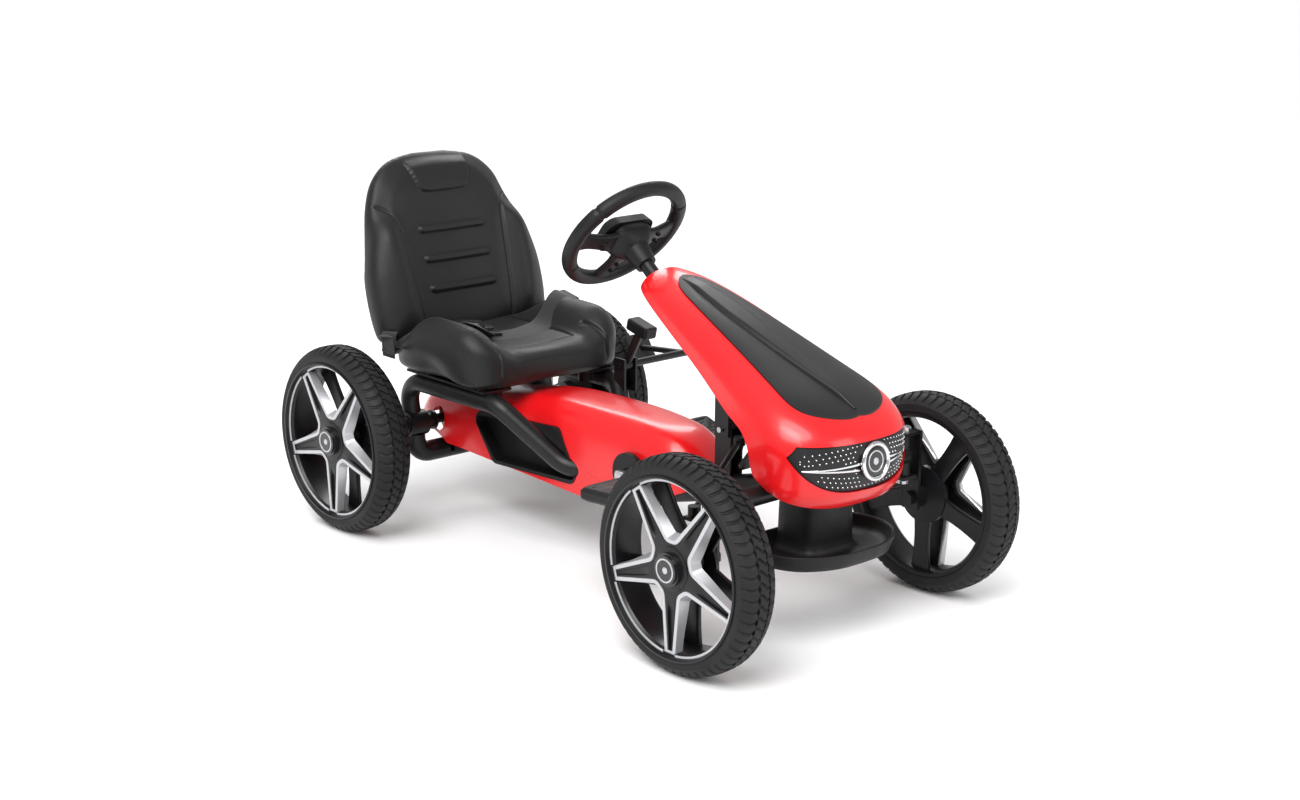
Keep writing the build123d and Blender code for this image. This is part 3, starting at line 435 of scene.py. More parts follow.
def tyre_surface(middle, side):
    """radius(row, column) = crown of the row, less the lug depth where a groove runs."""
    step = (np.arange(LUGS)[:, None] + LUG_STEPS).ravel()
    cut_here = np.tile(LUG_CUT, LUGS)
    zigzag = 0.0025 * (4 * np.abs(step % 1 - 0.5) - 1)
    flip = np.concatenate([-CROWN_ROWS[:0:-1], CROWN_ROWS])
    order = np.concatenate([np.arange(len(CROWN_ROWS) - 1, 0, -1), np.arange(len(CROWN_ROWS))])
    sign = np.sign(flip)[:, None]
    across = flip[:, None] + sign * ZIGZAG_ROWS[order][:, None] * zigzag
    angle = (step + LUG_LEAN[order][:, None] + 0.5 * (sign > 0)) * 2 * np.pi / LUGS
    groove = np.maximum(cut_here * LUG_SHARE[order][:, None], RING_CUT[order][:, None])
    radius = TYRE_RADIUS - crown(across) - groove * LUG_DEPTH[order][:, None]
    out = across * (TYRE_HALF_WIDTH - 0.0004) / 0.0385 * (1 - 0.05 * (np.abs(across) / 0.0385) ** 2)
    wall_radius = np.array([0.1362, 0.1345, 0.1325, 0.130, 0.127, 0.1246, 0.1236, 0.1228])
    wall_out = np.array([0.0306, 0.0308, 0.0309, 0.0308, 0.0305, 0.0296, 0.0280, 0.0262])
    walls = []
    for wall_side, lean in ((1, angle[-1]), (-1, angle[0])):
        wall_angle = np.broadcast_to(lean, (len(wall_radius), len(step)))
        wall_rows = (np.broadcast_to(wall_radius[:, None], wall_angle.shape), wall_angle,
                     np.broadcast_to(wall_side * wall_out[:, None], wall_angle.shape))
        walls.append(wall_rows)
    after, before = walls
    radius = np.concatenate([before[0][::-1], radius, after[0]])
    angle = np.concatenate([before[1][::-1], angle, after[1]])
    out = np.concatenate([before[2][::-1], out, after[2]])
    return ring_surface(wheel_point(middle, side, radius, angle, out))


for name, (body, side) in WHEELS.items():
    tyre = make_piece("tread_" + name, [tyre_surface(wheel_middle(name), side)], tyre_rubber, body,
                      crease=0.5)
    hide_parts("tyre_" + name)

# %% [markdown]
# ### Rims
# The rim is a deep black barrel with a five-armed star on its outer face and five broad flat
# arms on its inner face. Each arm of the star is a profile carried outwards from the hub: full
# width at the hub, narrow at the rim, with a groove down its middle. Silver paint lines follow
# both edges of each arm, and turn round the corner between two arms.

# %% Rim shapes
ARMS = 5
ARM_START = math.radians(270)
STAR_FACE = 0.0245
LINE_WIDTH = 0.0052


def revolve(middle, side, outline, count=96):
    """Every (radius, outward) pair of a closed outline, turned round the axle."""
    outline = np.asarray(outline, float)
    turn = np.arange(count) * 2 * np.pi / count
    return ring_surface(wheel_point(middle, side, outline[None, :, 0], turn[:, None], outline[None, :, 1]))


HUB_FLAT = 0.035                     # from the axle to the flat side between two arms
CORNER = np.array([0.0342, 0.0125])  # where that flat meets the arm, along and across the arm
TIP = np.array([0.1170, 0.0048])


def arm_half_width(along):
    """Along the hub's flat sides first, then tapering evenly from the corner to the tip."""
    half_gap = math.pi / ARMS
    places = [0, HUB_FLAT * math.cos(half_gap), CORNER[0], TIP[0]]
    return np.interp(along, places, [0, HUB_FLAT * math.sin(half_gap), CORNER[1], TIP[1]])


def along_arm(middle, side, turn, along, across, out):
    """A place on an arm, turned to the arm's own angle."""
    x = along * math.cos(turn) - across * math.sin(turn)
    z = along * math.sin(turn) + across * math.cos(turn)
    return middle + np.stack([x, side * out, z], -1)


def star_arm(middle, side, turn):
    """Sections (across, out) along the arm: a flat face with a groove, and straight sides."""
    along = np.concatenate([[0.004, 0.012, 0.020, 0.0283, 0.0342, 0.040], np.linspace(0.046, 0.117, 12)])
    half = arm_half_width(along)[:, None] + 0.002
    depth = 0.0035 * rise(along, 0.045, 0.062)[:, None] * (1 - rise(along, 0.110, 0.115)[:, None])
    groove = np.minimum(0.0052, half * 0.5) * (1 - 0.45 * rise(along, 0.05, 0.117)[:, None])
    ones = np.ones_like(half)
    across = np.concatenate([-half, -half, -groove - 0.0008, -groove, groove, groove + 0.0008, half, half], 1)
    face = STAR_FACE * ones
    out = np.concatenate([0 * ones + STAR_FACE - 0.016, face - 0.0006, face, face - depth, face - depth, face,
                          face - 0.0006, 0 * ones + STAR_FACE - 0.016], 1)
    return stack_surface(along_arm(middle, side, turn, along[:, None], across, out))


def back_arm(middle, side, turn):
    """A broad flat arm of the inner face, a rounded bar that widens a little at both ends."""
    along = np.linspace(0.028, 0.119, 10)
    width = 0.0135 + 0.004 * ((along - 0.07) / 0.045) ** 2
    loop = oval(1.0, 1.0, 5.0, 20)
    across = width[:, None] * loop[None, :, 0]
    out = -0.017 + 0.0032 * loop[None, :, 1] + 0 * across
    return stack_surface(along_arm(middle, side, turn, along[:, None], across, out))


BARREL = [(0.1232, -0.0285), (0.1232, 0.0290), (0.1262, 0.0305), (0.1262, 0.0318), (0.1236, 0.0326),
          (0.1222, 0.0318), (0.1214, 0.0290), (0.1196, 0.0240), (0.1162, 0.0200), (0.1152, -0.0240),
          (0.1180, -0.0285)]
HUB = [(0.009, -0.0440), (0.0160, -0.0440), (0.0175, -0.0300), (0.0430, -0.0220), (0.0440, -0.0160),
       (0.0260, -0.0130), (0.0220, 0.0060), (0.0300, 0.0120), (0.0310, 0.0250), (0.0260, 0.0262),
       (0.009, 0.0262)]


def rim_surfaces(middle, side):
    surfaces = [revolve(middle, side, BARREL), revolve(middle, side, HUB, 64)]
    for arm in range(ARMS):
        turn = ARM_START + arm * 2 * math.pi / ARMS
        surfaces += [star_arm(middle, side, turn), back_arm(middle, side, turn)]
    return surfaces


for name, (body, side) in WHEELS.items():
    rim = make_piece("star_rim_" + name, rim_surfaces(wheel_middle(name), side), rim_black, body)
    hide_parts("rim_" + name)

# %% [markdown]
# The painted line turns a rounded corner near the hub, so its path is two straight legs joined by
# a bend. On its window side it has a sloping wall, also silver, which is widest at that corner.

# %% Silver lines
def bend_corner(before, corner, after, reach, count=9):
    """A quadratic curve that rounds a corner, starting and ending reach away from it."""
    start, end = corner + unit(before - corner) * reach, corner + unit(after - corner) * reach
    t = np.linspace(0, 1, count)[:, None]
    return (1 - t) ** 2 * start + 2 * t * (1 - t) * corner + t**2 * end


def line_path():
    """From one arm's tip down its edge, across the hub's flat, and out along the next arm."""
    half_gap = math.pi / ARMS
    turn = np.array([[math.cos(half_gap), math.sin(half_gap)], [math.sin(half_gap), -math.cos(half_gap)]])
    tip, corner = turn @ TIP, turn @ CORNER
    across = np.array([1, -1])
    first = bend_corner(tip, corner, corner * across, 0.0075)
    second = bend_corner(corner, corner * across, tip * across, 0.0075)
    share = np.linspace(0, 1, 18, endpoint=False)[:, None]
    return np.concatenate([tip + (first[0] - tip) * share, first, second,
                           tip * across + (second[-1] - tip * across) * share[::-1]])


def line_surface(middle, side, turn):
    """The line's profile (into the gap, out) carried along the path: a flat top and a sloping wall."""
    path = line_path()
    nearness = 1 - rise(np.linalg.norm(path, axis=1), 0.036, 0.105)
    slope = (0.0015 + 0.0055 * nearness)[:, None]
    flat = np.full_like(slope, LINE_WIDTH)
    zero = np.zeros_like(slope)
    into = np.concatenate([zero - 0.0006, zero, flat * 0.5, flat, flat + slope, flat + slope - 0.0015,
                           zero + 0.001], 1)
    drop = np.array([-0.0012, 0.0006, 0.0009, 0.0004, -0.0120, -0.0135, -0.0100])
    along = unit(np.gradient(path, axis=0))
    normal = np.stack([-along[:, 1], along[:, 0]], -1)
    inward = np.where(normal[:, :1] > 0, normal, -normal)
    flat_points = path[:, None] + into[..., None] * inward[:, None]
    out = STAR_FACE + np.broadcast_to(drop, into.shape)
    return stack_surface(along_arm(middle, side, turn, flat_points[..., 0], flat_points[..., 1], out))


def tip_bar(middle, side, turn):
    """The short bar that joins two lines at an arm's tip."""
    across = np.linspace(-0.0098, 0.0098, 9)
    loop = oval(0.0022, 0.0009, 4.0, 12)
    along = 0.1166 + loop[None, :, 0] + 0 * across[:, None]
    out = STAR_FACE + 0.0001 + loop[None, :, 1] + 0 * across[:, None]
    return stack_surface(along_arm(middle, side, turn, along, across[:, None] + 0 * along, out))


def ring_arc(middle, side, turn):
    """A thin ring round the barrel's edge, between two arms."""
    angle = turn + np.linspace(-1, 1, 40) * (math.pi / ARMS - 0.10)
    loop = oval(0.0021, 0.0010, 4.0, 12)
    return stack_surface(wheel_point(middle, side, 0.1196 + loop[None, :, 0], angle[:, None],
                                     STAR_FACE + 0.0014 + loop[None, :, 1]))


for name, (body, side) in WHEELS.items():
    middle = wheel_middle(name)
    surfaces = []
    for arm in range(ARMS):
        turn = ARM_START + arm * 2 * math.pi / ARMS
        gap = turn + math.pi / ARMS
        surfaces += [line_surface(middle, side, gap), tip_bar(middle, side, turn),
                     ring_arc(middle, side, gap)]
    make_piece("silver_lines_" + name, surfaces, line_silver, body)

# %% [markdown]
# The hub cap is a plain glossy dome. It carries a silver ring and a small silver button, and five
# dark screw recesses stand round it between the arms.

# %% Hub rings and recesses
def dome(middle, side, radius, angle, size, start, height, count=16):
    """A round button: rings whose radius falls as cos while they rise as sin."""
    lift = np.concatenate([[0], np.sin(np.linspace(0.15, 1.45, 5))])
    spread = np.concatenate([[1], np.cos(np.linspace(0.15, 1.45, 5))])
    turn = np.arange(count) * 2 * np.pi / count
    centre = np.array([radius * math.cos(angle), radius * math.sin(angle)])
    x = centre[0] + size * spread[:, None] * np.cos(turn)
    z = centre[1] + size * spread[:, None] * np.sin(turn)
    out = start + height * lift[:, None] + 0 * x
    return stack_surface(middle + np.stack([x, side * out, z], -1))


for name, (body, side) in WHEELS.items():
    middle = wheel_middle(name)
    low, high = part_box("hub_cap_" + name)
    face = max(abs(low.y), abs(high.y)) - abs(middle[1])
    turn = np.arange(48) * 2 * np.pi / 48
    loop = oval(0.0013, 0.0008, 2.0, 12)
    circle = wheel_point(middle, side, 0.0155 + loop[None, :, 0], turn[:, None],
                         face + 0.0004 + loop[None, :, 1])
    make_piece("cap_ring_" + name,
               [ring_surface(circle), dome(middle, side, 0, 0, 0.005, face - 0.0004, 0.0016)],
               line_silver, body)
    recesses = [dome(middle, side, 0.0285, ARM_START + (arm + 0.5) * 2 * math.pi / ARMS, 0.0026,
                     STAR_FACE + 0.0008, 0.0006) for arm in range(ARMS)]
    make_piece("hub_screws_" + name, recesses, deep_black, body)

# %% [markdown]
# ## Hood trim
# The dark panel has a long raised rib along its middle that narrows towards the nose. Its grid is
# laid flat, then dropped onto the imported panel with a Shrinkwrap, so it follows the panel exactly.

# %% Drop a grid onto a node
def dropped(points, target, axis):
    """Each point slid along an axis until it meets the target's surface."""
    mesh = bpy.data.meshes.new("drop")
    mesh.from_pydata(points.reshape(-1, 3).tolist(), [], [])
    probe = bpy.data.objects.new("drop", mesh)
    bpy.context.scene.collection.objects.link(probe)
    wrap = probe.modifiers.new("wrap", "SHRINKWRAP")
    wrap.target = target
    wrap.wrap_method = "PROJECT"
    wrap.use_project_x, wrap.use_project_y, wrap.use_project_z = (axis == letter for letter in "xyz")
    wrap.use_negative_direction = True
    wrap.use_positive_direction = False
    bpy.context.view_layer.update()
    moved = probe.evaluated_get(bpy.context.evaluated_depsgraph_get()).data
    place = np.zeros(len(moved.vertices) * 3)
    moved.vertices.foreach_get("co", place)
    bpy.data.objects.remove(probe)
    bpy.data.meshes.remove(mesh)
    return place.reshape(points.shape)


panel_low, panel_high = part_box("hood_insert")
rib_x = np.linspace(panel_low.x + 0.010, panel_high.x - 0.010, 70)
rib_share = (rib_x - rib_x[0]) / (rib_x[-1] - rib_x[0])
rib_half = 0.0025 + 0.028 * (1 - rib_share) ** 0.8 * (0.36 + 0.64 * rise(rib_share, -0.02, 0.35))
across = np.linspace(-1, 1, 17)
flat = np.stack(np.broadcast_arrays(rib_x[:, None], rib_half[:, None] * across, panel_high.z + 0.05), -1)
floor_points = dropped(flat, nodes["hood_insert"], "z")
fade = rise(rib_share, -0.02, 0.10) * (1 - 0.6 * rise(rib_share, 0.90, 1.0))
height = 0.0042 * rise(1 - np.abs(across), 0.0, 0.30) * fade[:, None]
print("rib lies between", floor_points[..., 2].min().round(4), "and", floor_points[..., 2].max().round(4))
lift = unit(np.array([0.35, 0.0, 1.0]))
top = floor_points + (height[..., None] + 0.0002) * lift
foot = floor_points[:, ::-1] - 0.0012 * lift
make_piece("hood_rib", [stack_surface(np.concatenate([top, foot], 1))], satin_black, "chassis",
           crease=0.9)

# %% [markdown]
# The nose panel carries rows of small bright studs. Each stud has only a few faces, because there
# are hundreds. Their rows bend down at the sides with the grille, and none sits under the chrome.

# %% Grille studs
grille_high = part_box("grille_panel")[1]
STUD_PITCH = 0.0076
rows, columns = np.meshgrid(np.arange(-5, 5), np.arange(-14, 15), indexing="ij")
stud_y = (columns + 0.5 * (rows % 2)) * STUD_PITCH
stud_z = 0.268 + rows * STUD_PITCH * 0.86 - 3.2 * stud_y**2 * (rows > 0) * 0.3 + 1.2 * stud_y**2 * (rows < 0)
inside = (stud_z < 0.2945 - 60 * np.maximum(np.abs(stud_y) - 0.098, 0) ** 2)
inside &= stud_z > 0.2315 + 1.9 * stud_y**2 + 40 * np.maximum(np.abs(stud_y) - 0.08, 0) ** 2
inside &= np.abs(stud_y) < 0.106
inside &= np.hypot(stud_y, stud_z - 0.269) > 0.033
inside &= ~((np.abs(stud_z - 0.264) < 0.0075) & (np.abs(stud_y) < 0.103))
stud_y, stud_z = stud_y[inside], stud_z[inside]
before_panel = np.full_like(stud_y, grille_high.x + 0.05)
seats = dropped(np.stack([before_panel, stud_y, stud_z], -1), nodes["grille_panel"], "x")
hit = seats[:, 0] < grille_high.x + 0.01
seats = seats[hit]
stud_turn = np.arange(6) * 2 * np.pi / 6
surfaces = []
rings = np.stack([np.stack([np.full(6, x), r * np.cos(stud_turn), r * np.sin(stud_turn)], -1)
                  for x, r in ((-0.0006, 0.0013), (0.0003, 0.0012), (0.0009, 0.0007))])
for seat in seats:
    surfaces.append(stack_surface(seat + rings))
make_piece("grille_studs", surfaces, chrome, "chassis", crease=0.9)

# %% [markdown]
# In the middle of the nose a plain chrome ring holds a dark glossy face with one inner ring and a
# dot. From it a pair of bright lines runs out each side, meeting in a point at the end.

# %% Nose ring and lines
trim_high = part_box("grille_trim")[1]
RING_MIDDLE = np.array([trim_high.x - 0.0060, 0.0, 0.269])
RING_OUT = unit(np.array([1.0, 0.0, 0.1]))
RING_UP = np.cross(RING_OUT, (0.0, 1.0, 0.0))


def on_ring(radius, angle, out):
    """Distance from the ring's middle, angle round it and height over its plane."""
    radius, angle, out = np.broadcast_arrays(radius, angle, out)
    return (RING_MIDDLE + (radius * np.cos(angle))[..., None] * np.array([0.0, 1.0, 0.0])
            + (radius * np.sin(angle))[..., None] * RING_UP + out[..., None] * RING_OUT)


def hoop(radius, thick, high, out):
    """A ring with an oval section."""
    loop = oval(thick, high, 2.0, 16)
    angle = np.arange(72) * 2 * np.pi / 72
    return ring_surface(on_ring(radius + loop[None, :, 0], angle[:, None], out + loop[None, :, 1]))


def button(radius, out, high):
    """A low round dome standing on the ring's plane."""
    share = np.array([1.0, 1.0, 0.9, 0.6, 0.25])[:, None]
    level = np.array([-0.002, 0.35 * high, 0.7 * high, 0.92 * high, high])[:, None]
    return stack_surface(on_ring(radius * share, np.arange(48) * 2 * np.pi / 48, out + level))


ring = make_piece("nose_ring", [hoop(0.0242, 0.0034, 0.0036, 0.0)], chrome, "chassis")
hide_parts("grille_trim")
make_piece("nose_face", [button(0.0216, -0.0006, 0.0016)], cap_gloss, "chassis")
make_piece("nose_mark", [hoop(0.0140, 0.0011, 0.0008, 0.0008), button(0.0050, 0.0008, 0.0014)], line_silver,
           "chassis")
lines = []
for side in (-1, 1):
    for height in (-1, 1):
        share = np.linspace(0, 1, 40)
        line_y = side * (0.0262 + 0.075 * share)
        line_z = 0.2645 + height * 0.0043 * (1 - share)
        before_panel = np.full_like(line_y, grille_high.x + 0.05)
        path = dropped(np.stack([before_panel, line_y, line_z], -1), nodes["grille_panel"], "x")
        profile = oval(0.0018, 0.0017, 3.0, 12) * (1 - 0.45 * share)[:, None, None]
        lines.append(stack_surface(carry(path + np.array([0.0006, 0, 0]), profile, (1.0, 0.0, 0.0))))
make_piece("nose_lines", lines, chrome, "chassis")

# %% [markdown]
# ## Padded seat
# The seat and backrest are foam under a tight synthetic skin. Each starts as a slightly slim
# closed form, a front and a back that meet at the outline. Cloth with a little pressure inside
# then swells it as foam would, with every point held within a few millimetres. The seams, ribs
# and head pad are pressed in afterwards, because remeshing would wipe them out.

# %% Pad helpers
SWELL_LIMIT = 0.006
PAD_VOXEL = 0.004


def pad_form(outline, front, back, middle, edge_power=3.0, steps=26):
    """Loops shrink from the outline to its centre on the front, and grow again on the back.

    At share s of the way to the outline the thickness is multiplied by (1 - s^p)^(1/p).
    """
    centre = outline.mean(0)
    share = np.sin(np.linspace(0.03, math.pi / 2, steps)) ** 0.9
    fade = (1 - np.minimum(share, 0.9995) ** edge_power) ** (1 / edge_power)
    plan = centre + (outline - centre) * share[:, None, None]
    low, high = back(plan), front(plan)
    level = middle(plan)
    upper = level + (high - level) * fade[:, None]
    lower = level + (low - level) * fade[:, None]
    top = np.concatenate([plan, upper[..., None]], -1)
    bottom = np.concatenate([plan, lower[..., None]], -1)
    return np.concatenate([top, bottom[::-1]])


def swollen(name, points, body):
    """Remesh the form evenly, swell it as cloth under pressure, cap each point's travel, and smooth it."""
    pad = make_piece(name, [stack_surface(points)], seat_skin, body)
    remesh = pad.modifiers.new("even", "REMESH")
    remesh.mode = "VOXEL"
    remesh.voxel_size = PAD_VOXEL
    apply_modifiers(pad)
    rest = read_points(pad)
    cloth = pad.modifiers.new("foam", "CLOTH")
    cloth.settings.use_pressure = True
    cloth.settings.uniform_pressure_force = 4.0
    cloth.settings.effector_weights.gravity = 0.0
    cloth.settings.quality = 4
    cloth.point_cache.frame_start, cloth.point_cache.frame_end = 1, 20
    for step in range(1, 21):
        bpy.context.scene.frame_set(step)
    apply_modifiers(pad)
    moved = even(pad, read_points(pad) - rest, 60)
    travel = np.linalg.norm(moved, axis=1, keepdims=True)
    write_points(pad, rest + moved * np.minimum(1, SWELL_LIMIT / np.maximum(travel, 1e-9)))
    bpy.context.scene.frame_set(1)
    smooth = pad.modifiers.new("even_out", "SMOOTH")
    smooth.factor = 0.5
    smooth.iterations = 5
    finer = pad.modifiers.new("finer", "SUBSURF")
    finer.levels = finer.render_levels = 1
    apply_modifiers(pad)
    print(name, "points after swelling:", len(pad.data.vertices))
    return pad


def even(piece, values, rounds):
    """Each value becomes half itself and half its neighbours' mean, many times, so wrinkles fade."""
    edges = np.zeros(len(piece.data.edges) * 2, int)
    piece.data.edges.foreach_get("vertices", edges)
    ends = np.concatenate([edges.reshape(-1, 2), edges.reshape(-1, 2)[:, ::-1]])
    share = np.maximum(np.bincount(ends[:, 0], minlength=len(values)), 1)
    for _ in range(rounds):
        total = np.stack([np.bincount(ends[:, 0], values[ends[:, 1], k], len(values)) for k in range(3)], -1)
        values = 0.5 * values + 0.5 * total / share[:, None]
    return values


def apply_modifiers(piece):
    bpy.context.view_layer.update()
    made = bpy.data.meshes.new_from_object(piece.evaluated_get(bpy.context.evaluated_depsgraph_get()))
    piece.modifiers.clear()
    old = piece.data
    piece.data = made
    bpy.data.meshes.remove(old)
    made.shade_smooth()


def read_points(piece):
    place = np.zeros(len(piece.data.vertices) * 3)
    piece.data.vertices.foreach_get("co", place)
    return place.reshape(-1, 3)


def write_points(piece, points):
    piece.data.vertices.foreach_set("co", points.ravel())
    piece.data.update()


def read_normals(piece):
    facing = np.zeros(len(piece.data.vertices) * 3)
    piece.data.vertices.foreach_get("normal", facing)
    return facing.reshape(-1, 3)


def distance_to_path(points, path):
    """The least distance from each 2-D point to a row of short segments."""
    a, b = path[:-1], path[1:]
    run = b - a
    share = np.einsum("pk,sk->ps", points, run) - np.einsum("sk,sk->s", a, run)
    share = np.clip(share / np.maximum((run**2).sum(1), 1e-12), 0, 1)
    nearest = a[None] + share[..., None] * run[None]
    return np.linalg.norm(points[:, None] - nearest, axis=-1).min(1)


# %% [markdown]
# ### Backrest
# Seen from the front it has broad round shoulders and narrows at the waist. Two side bolsters
# stand forward of the middle panel below the shoulders, each along a curved seam. Three raised
# ribs cross the middle, and a head pad stands proud near the top.

# %% Backrest
seat_low, seat_high = (np.array(corner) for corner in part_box("backrest"))
LEAN = math.radians(18)
BACK_FOOT = np.array([seat_low[0] + 0.139, 0, seat_high[2] - 0.277])
ACROSS, ALONG, FORWARD = (np.array(axis) for axis in (
    (0, 1, 0), (-math.sin(LEAN), 0, math.cos(LEAN)), (math.cos(LEAN), 0, math.sin(LEAN))))


def on_back(points):
    """(across, along, forward) on the leaning backrest to the frame."""
    return BACK_FOOT + points[..., :1] * ACROSS + points[..., 1:2] * ALONG + points[..., 2:] * FORWARD


half_outline = smooth_path([(0.0, 0.297), (0.045, 0.295), (0.088, 0.283), (0.122, 0.254), (0.142, 0.212),
                            (0.155, 0.165), (0.166, 0.120), (0.172, 0.078), (0.170, 0.020), (0.156, -0.012),
                            (0.090, -0.020), (0.0, -0.021)], 90)
back_outline = np.concatenate([half_outline, half_outline[-2:0:-1] * np.array([-1, 1])])
SEAM = smooth_path([(0.150, 0.218), (0.130, 0.209), (0.112, 0.192), (0.103, 0.160), (0.096, 0.08),
                    (0.088, -0.02)], 40)


def seam_across(along):
    """How far from the middle the seam lies at a height."""
    return np.interp(along, SEAM[::-1, 1], SEAM[::-1, 0])


def back_front(plan):
    """The forward face: a nearly flat panel, and bolsters that rise outside the seam."""
    side, along = np.abs(plan[..., 0]), plan[..., 1]
    bolster = rise(side - seam_across(along), -0.012, 0.034) * (1 - rise(along, 0.150, 0.225))
    hollow = -0.006 * (1 - rise(side, 0.0, 0.11)) * (1 - rise(along, 0.16, 0.26))
    return 0.001 + 0.026 * bolster + hollow - 0.010 * rise(along, 0.22, 0.30)


backrest_pad = swollen("backrest_pad", on_back(pad_form(
    back_outline, back_front, lambda plan: -0.046 + 0 * plan[..., 0],
    lambda plan: -0.022 + 0 * plan[..., 0], 3.4)), "seat")
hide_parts("backrest")

# %% [markdown]
# The stitched and pressed details move points along the forward direction only, by a smooth
# bump or dip around a line: a seam is a narrow dip, a rib a narrow ridge with round ends.

# %% Backrest seams and ribs
points = read_points(backrest_pad)
local = points - BACK_FOOT
across, along, forward = local @ ACROSS, local @ ALONG, local @ FORWARD
front_side = rise(forward, -0.016, -0.008)
plan = np.stack([np.abs(across), along], -1)
seam_dip = -0.0032 * np.exp(-(distance_to_path(plan, SEAM) / 0.0022) ** 2)
ribs_up = np.zeros(len(points))
for height in (0.161, 0.112, 0.063):
    bar = np.array([(0.0, height), (0.060, height)])
    ribs_up += 0.0062 * (1 - rise(distance_to_path(plan, bar), 0.0035, 0.0078))
HEAD_PAD = smooth_path([(0.0, 0.221), (0.036, 0.222), (0.048, 0.228), (0.054, 0.245), (0.060, 0.272)], 30)
pad_edge = np.interp(plan[:, 0], HEAD_PAD[:, 0], HEAD_PAD[:, 1])
in_pad = rise(along - pad_edge, -0.0025, 0.003) * (1 - rise(plan[:, 0], 0.0575, 0.0625))
in_pad *= 1 - rise(along, 0.262, 0.284)
lift = front_side * (seam_dip + ribs_up + 0.0055 * in_pad)
write_points(backrest_pad, points + lift[:, None] * FORWARD)

# %% [markdown]
# ### Seat base
# A deep cushion with a thigh bolster each side and a firm front. A stitched panel is pressed
# into its middle, and a seam runs down each front corner.

# %% Seat base
base_low, base_high = (np.array(corner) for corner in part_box("seat_base"))
BASE_MIDDLE = np.array([(base_low[0] + base_high[0]) / 2, 0, base_low[2]])
half_long, half_wide = (base_high[0] - base_low[0]) / 2, base_high[1]


def base_front(plan):
    """Height over the underside: 35 mm in the middle, higher bolsters, and a firm front edge."""
    x, side = plan[..., 0], np.abs(plan[..., 1])
    crest = rise(x, -0.130, -0.02) * (1 - 0.45 * rise(x, 0.06, 0.130))
    bolster = 0.052 * rise(side, 0.070, 0.128) * crest
    seat_dip = -0.004 * (1 - rise(side, 0.0, 0.09)) * (1 - rise(x, 0.05, 0.12))
    return 0.038 + bolster + seat_dip - 0.005 * rise(x, 0.10, 0.135)


base_outline = oval(half_long - 0.003, half_wide - 0.003, 4.6, 150)
base_outline[:, 0] *= np.where(base_outline[:, 0] < 0, 1.13, 1.0)
base_points = pad_form(base_outline, base_front, lambda plan: -0.009 + 0 * plan[..., 0],
                       lambda plan: 0.014 + 0 * plan[..., 0], 5.5)
seat_pad = swollen("seat_cushion", base_points + BASE_MIDDLE, "seat")
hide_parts("seat_base")

# %% [markdown]
# The seams of the cushion are narrow dips along its normals, so they turn down over the front.

# %% Seat base seams
points = read_points(seat_pad)
local = points - BASE_MIDDLE
facing = read_normals(seat_pad)
plan = np.stack([local[:, 0], np.abs(local[:, 1])], -1)
panel = smooth_path([(0.075, 0.0), (0.075, 0.060), (0.066, 0.070), (-0.02, 0.074), (-0.10, 0.076)], 30)
corner = np.array([(0.070, 0.094), (0.150, 0.118)])
top_side = rise(facing[:, 2], 0.3, 0.6)
dip = 0.0026 * np.exp(-(distance_to_path(plan, panel) / 0.0024) ** 2) * top_side
dip += 0.0042 * np.exp(-(distance_to_path(plan, corner) / 0.0026) ** 2) * rise(local[:, 2], 0.006, 0.02)
write_points(seat_pad, points - dip[:, None] * facing)

# %% [markdown]
# ## Lap belt
# Flat webbing is modelled directly: a thin rounded strip carried along a path that lies on the
# cushion. It comes over the far bolster, drops into the seat and ends at the buckle. A second
# strip comes out of the seat over the near bolster and hangs down the cushion's side.

# %% Belt
WEBBING_WIDTH = 0.034
WEBBING_THICKNESS = 0.0016


def strap(name, path, width, thickness, upward, material=webbing, body="seat"):
    """A thin strip along a path, with a UV whose first coordinate is the distance along it."""
    profile = oval(width / 2, thickness / 2, 5.0, 20)
    surface = stack_surface(carry(path, profile, upward))
    piece = make_piece(name, [surface], material, body, crease=1.0)
    length = np.concatenate([[0], np.cumsum(np.linalg.norm(np.diff(path, axis=0), axis=1))])
    along = np.concatenate([np.repeat(length, len(profile)), [length[0], length[-1]]])
    across = np.concatenate([np.tile(profile[:, 0], len(path)), [0, 0]])
    uv = piece.data.uv_layers.new(name="strap")
    corner = np.zeros(len(piece.data.loops), int)
    piece.data.loops.foreach_get("vertex_index", corner)
    uv.data.foreach_set("uv", np.stack([along[corner], across[corner]], -1).ravel())
    return piece


def laid(corners, lift, count=90):
    """A smooth path over the cushion: its plan from the corners, its height from the cushion."""
    plan = smooth_path([(x, y, base_high[2] + 0.05) for x, y in corners], count)
    path = dropped(plan, seat_pad, "z")
    for _ in range(30):
        path[1:-1, 2] = np.maximum(path[1:-1, 2], (path[:-2, 2] + path[2:, 2]) / 2)
    return path + np.array([0, 0, lift])


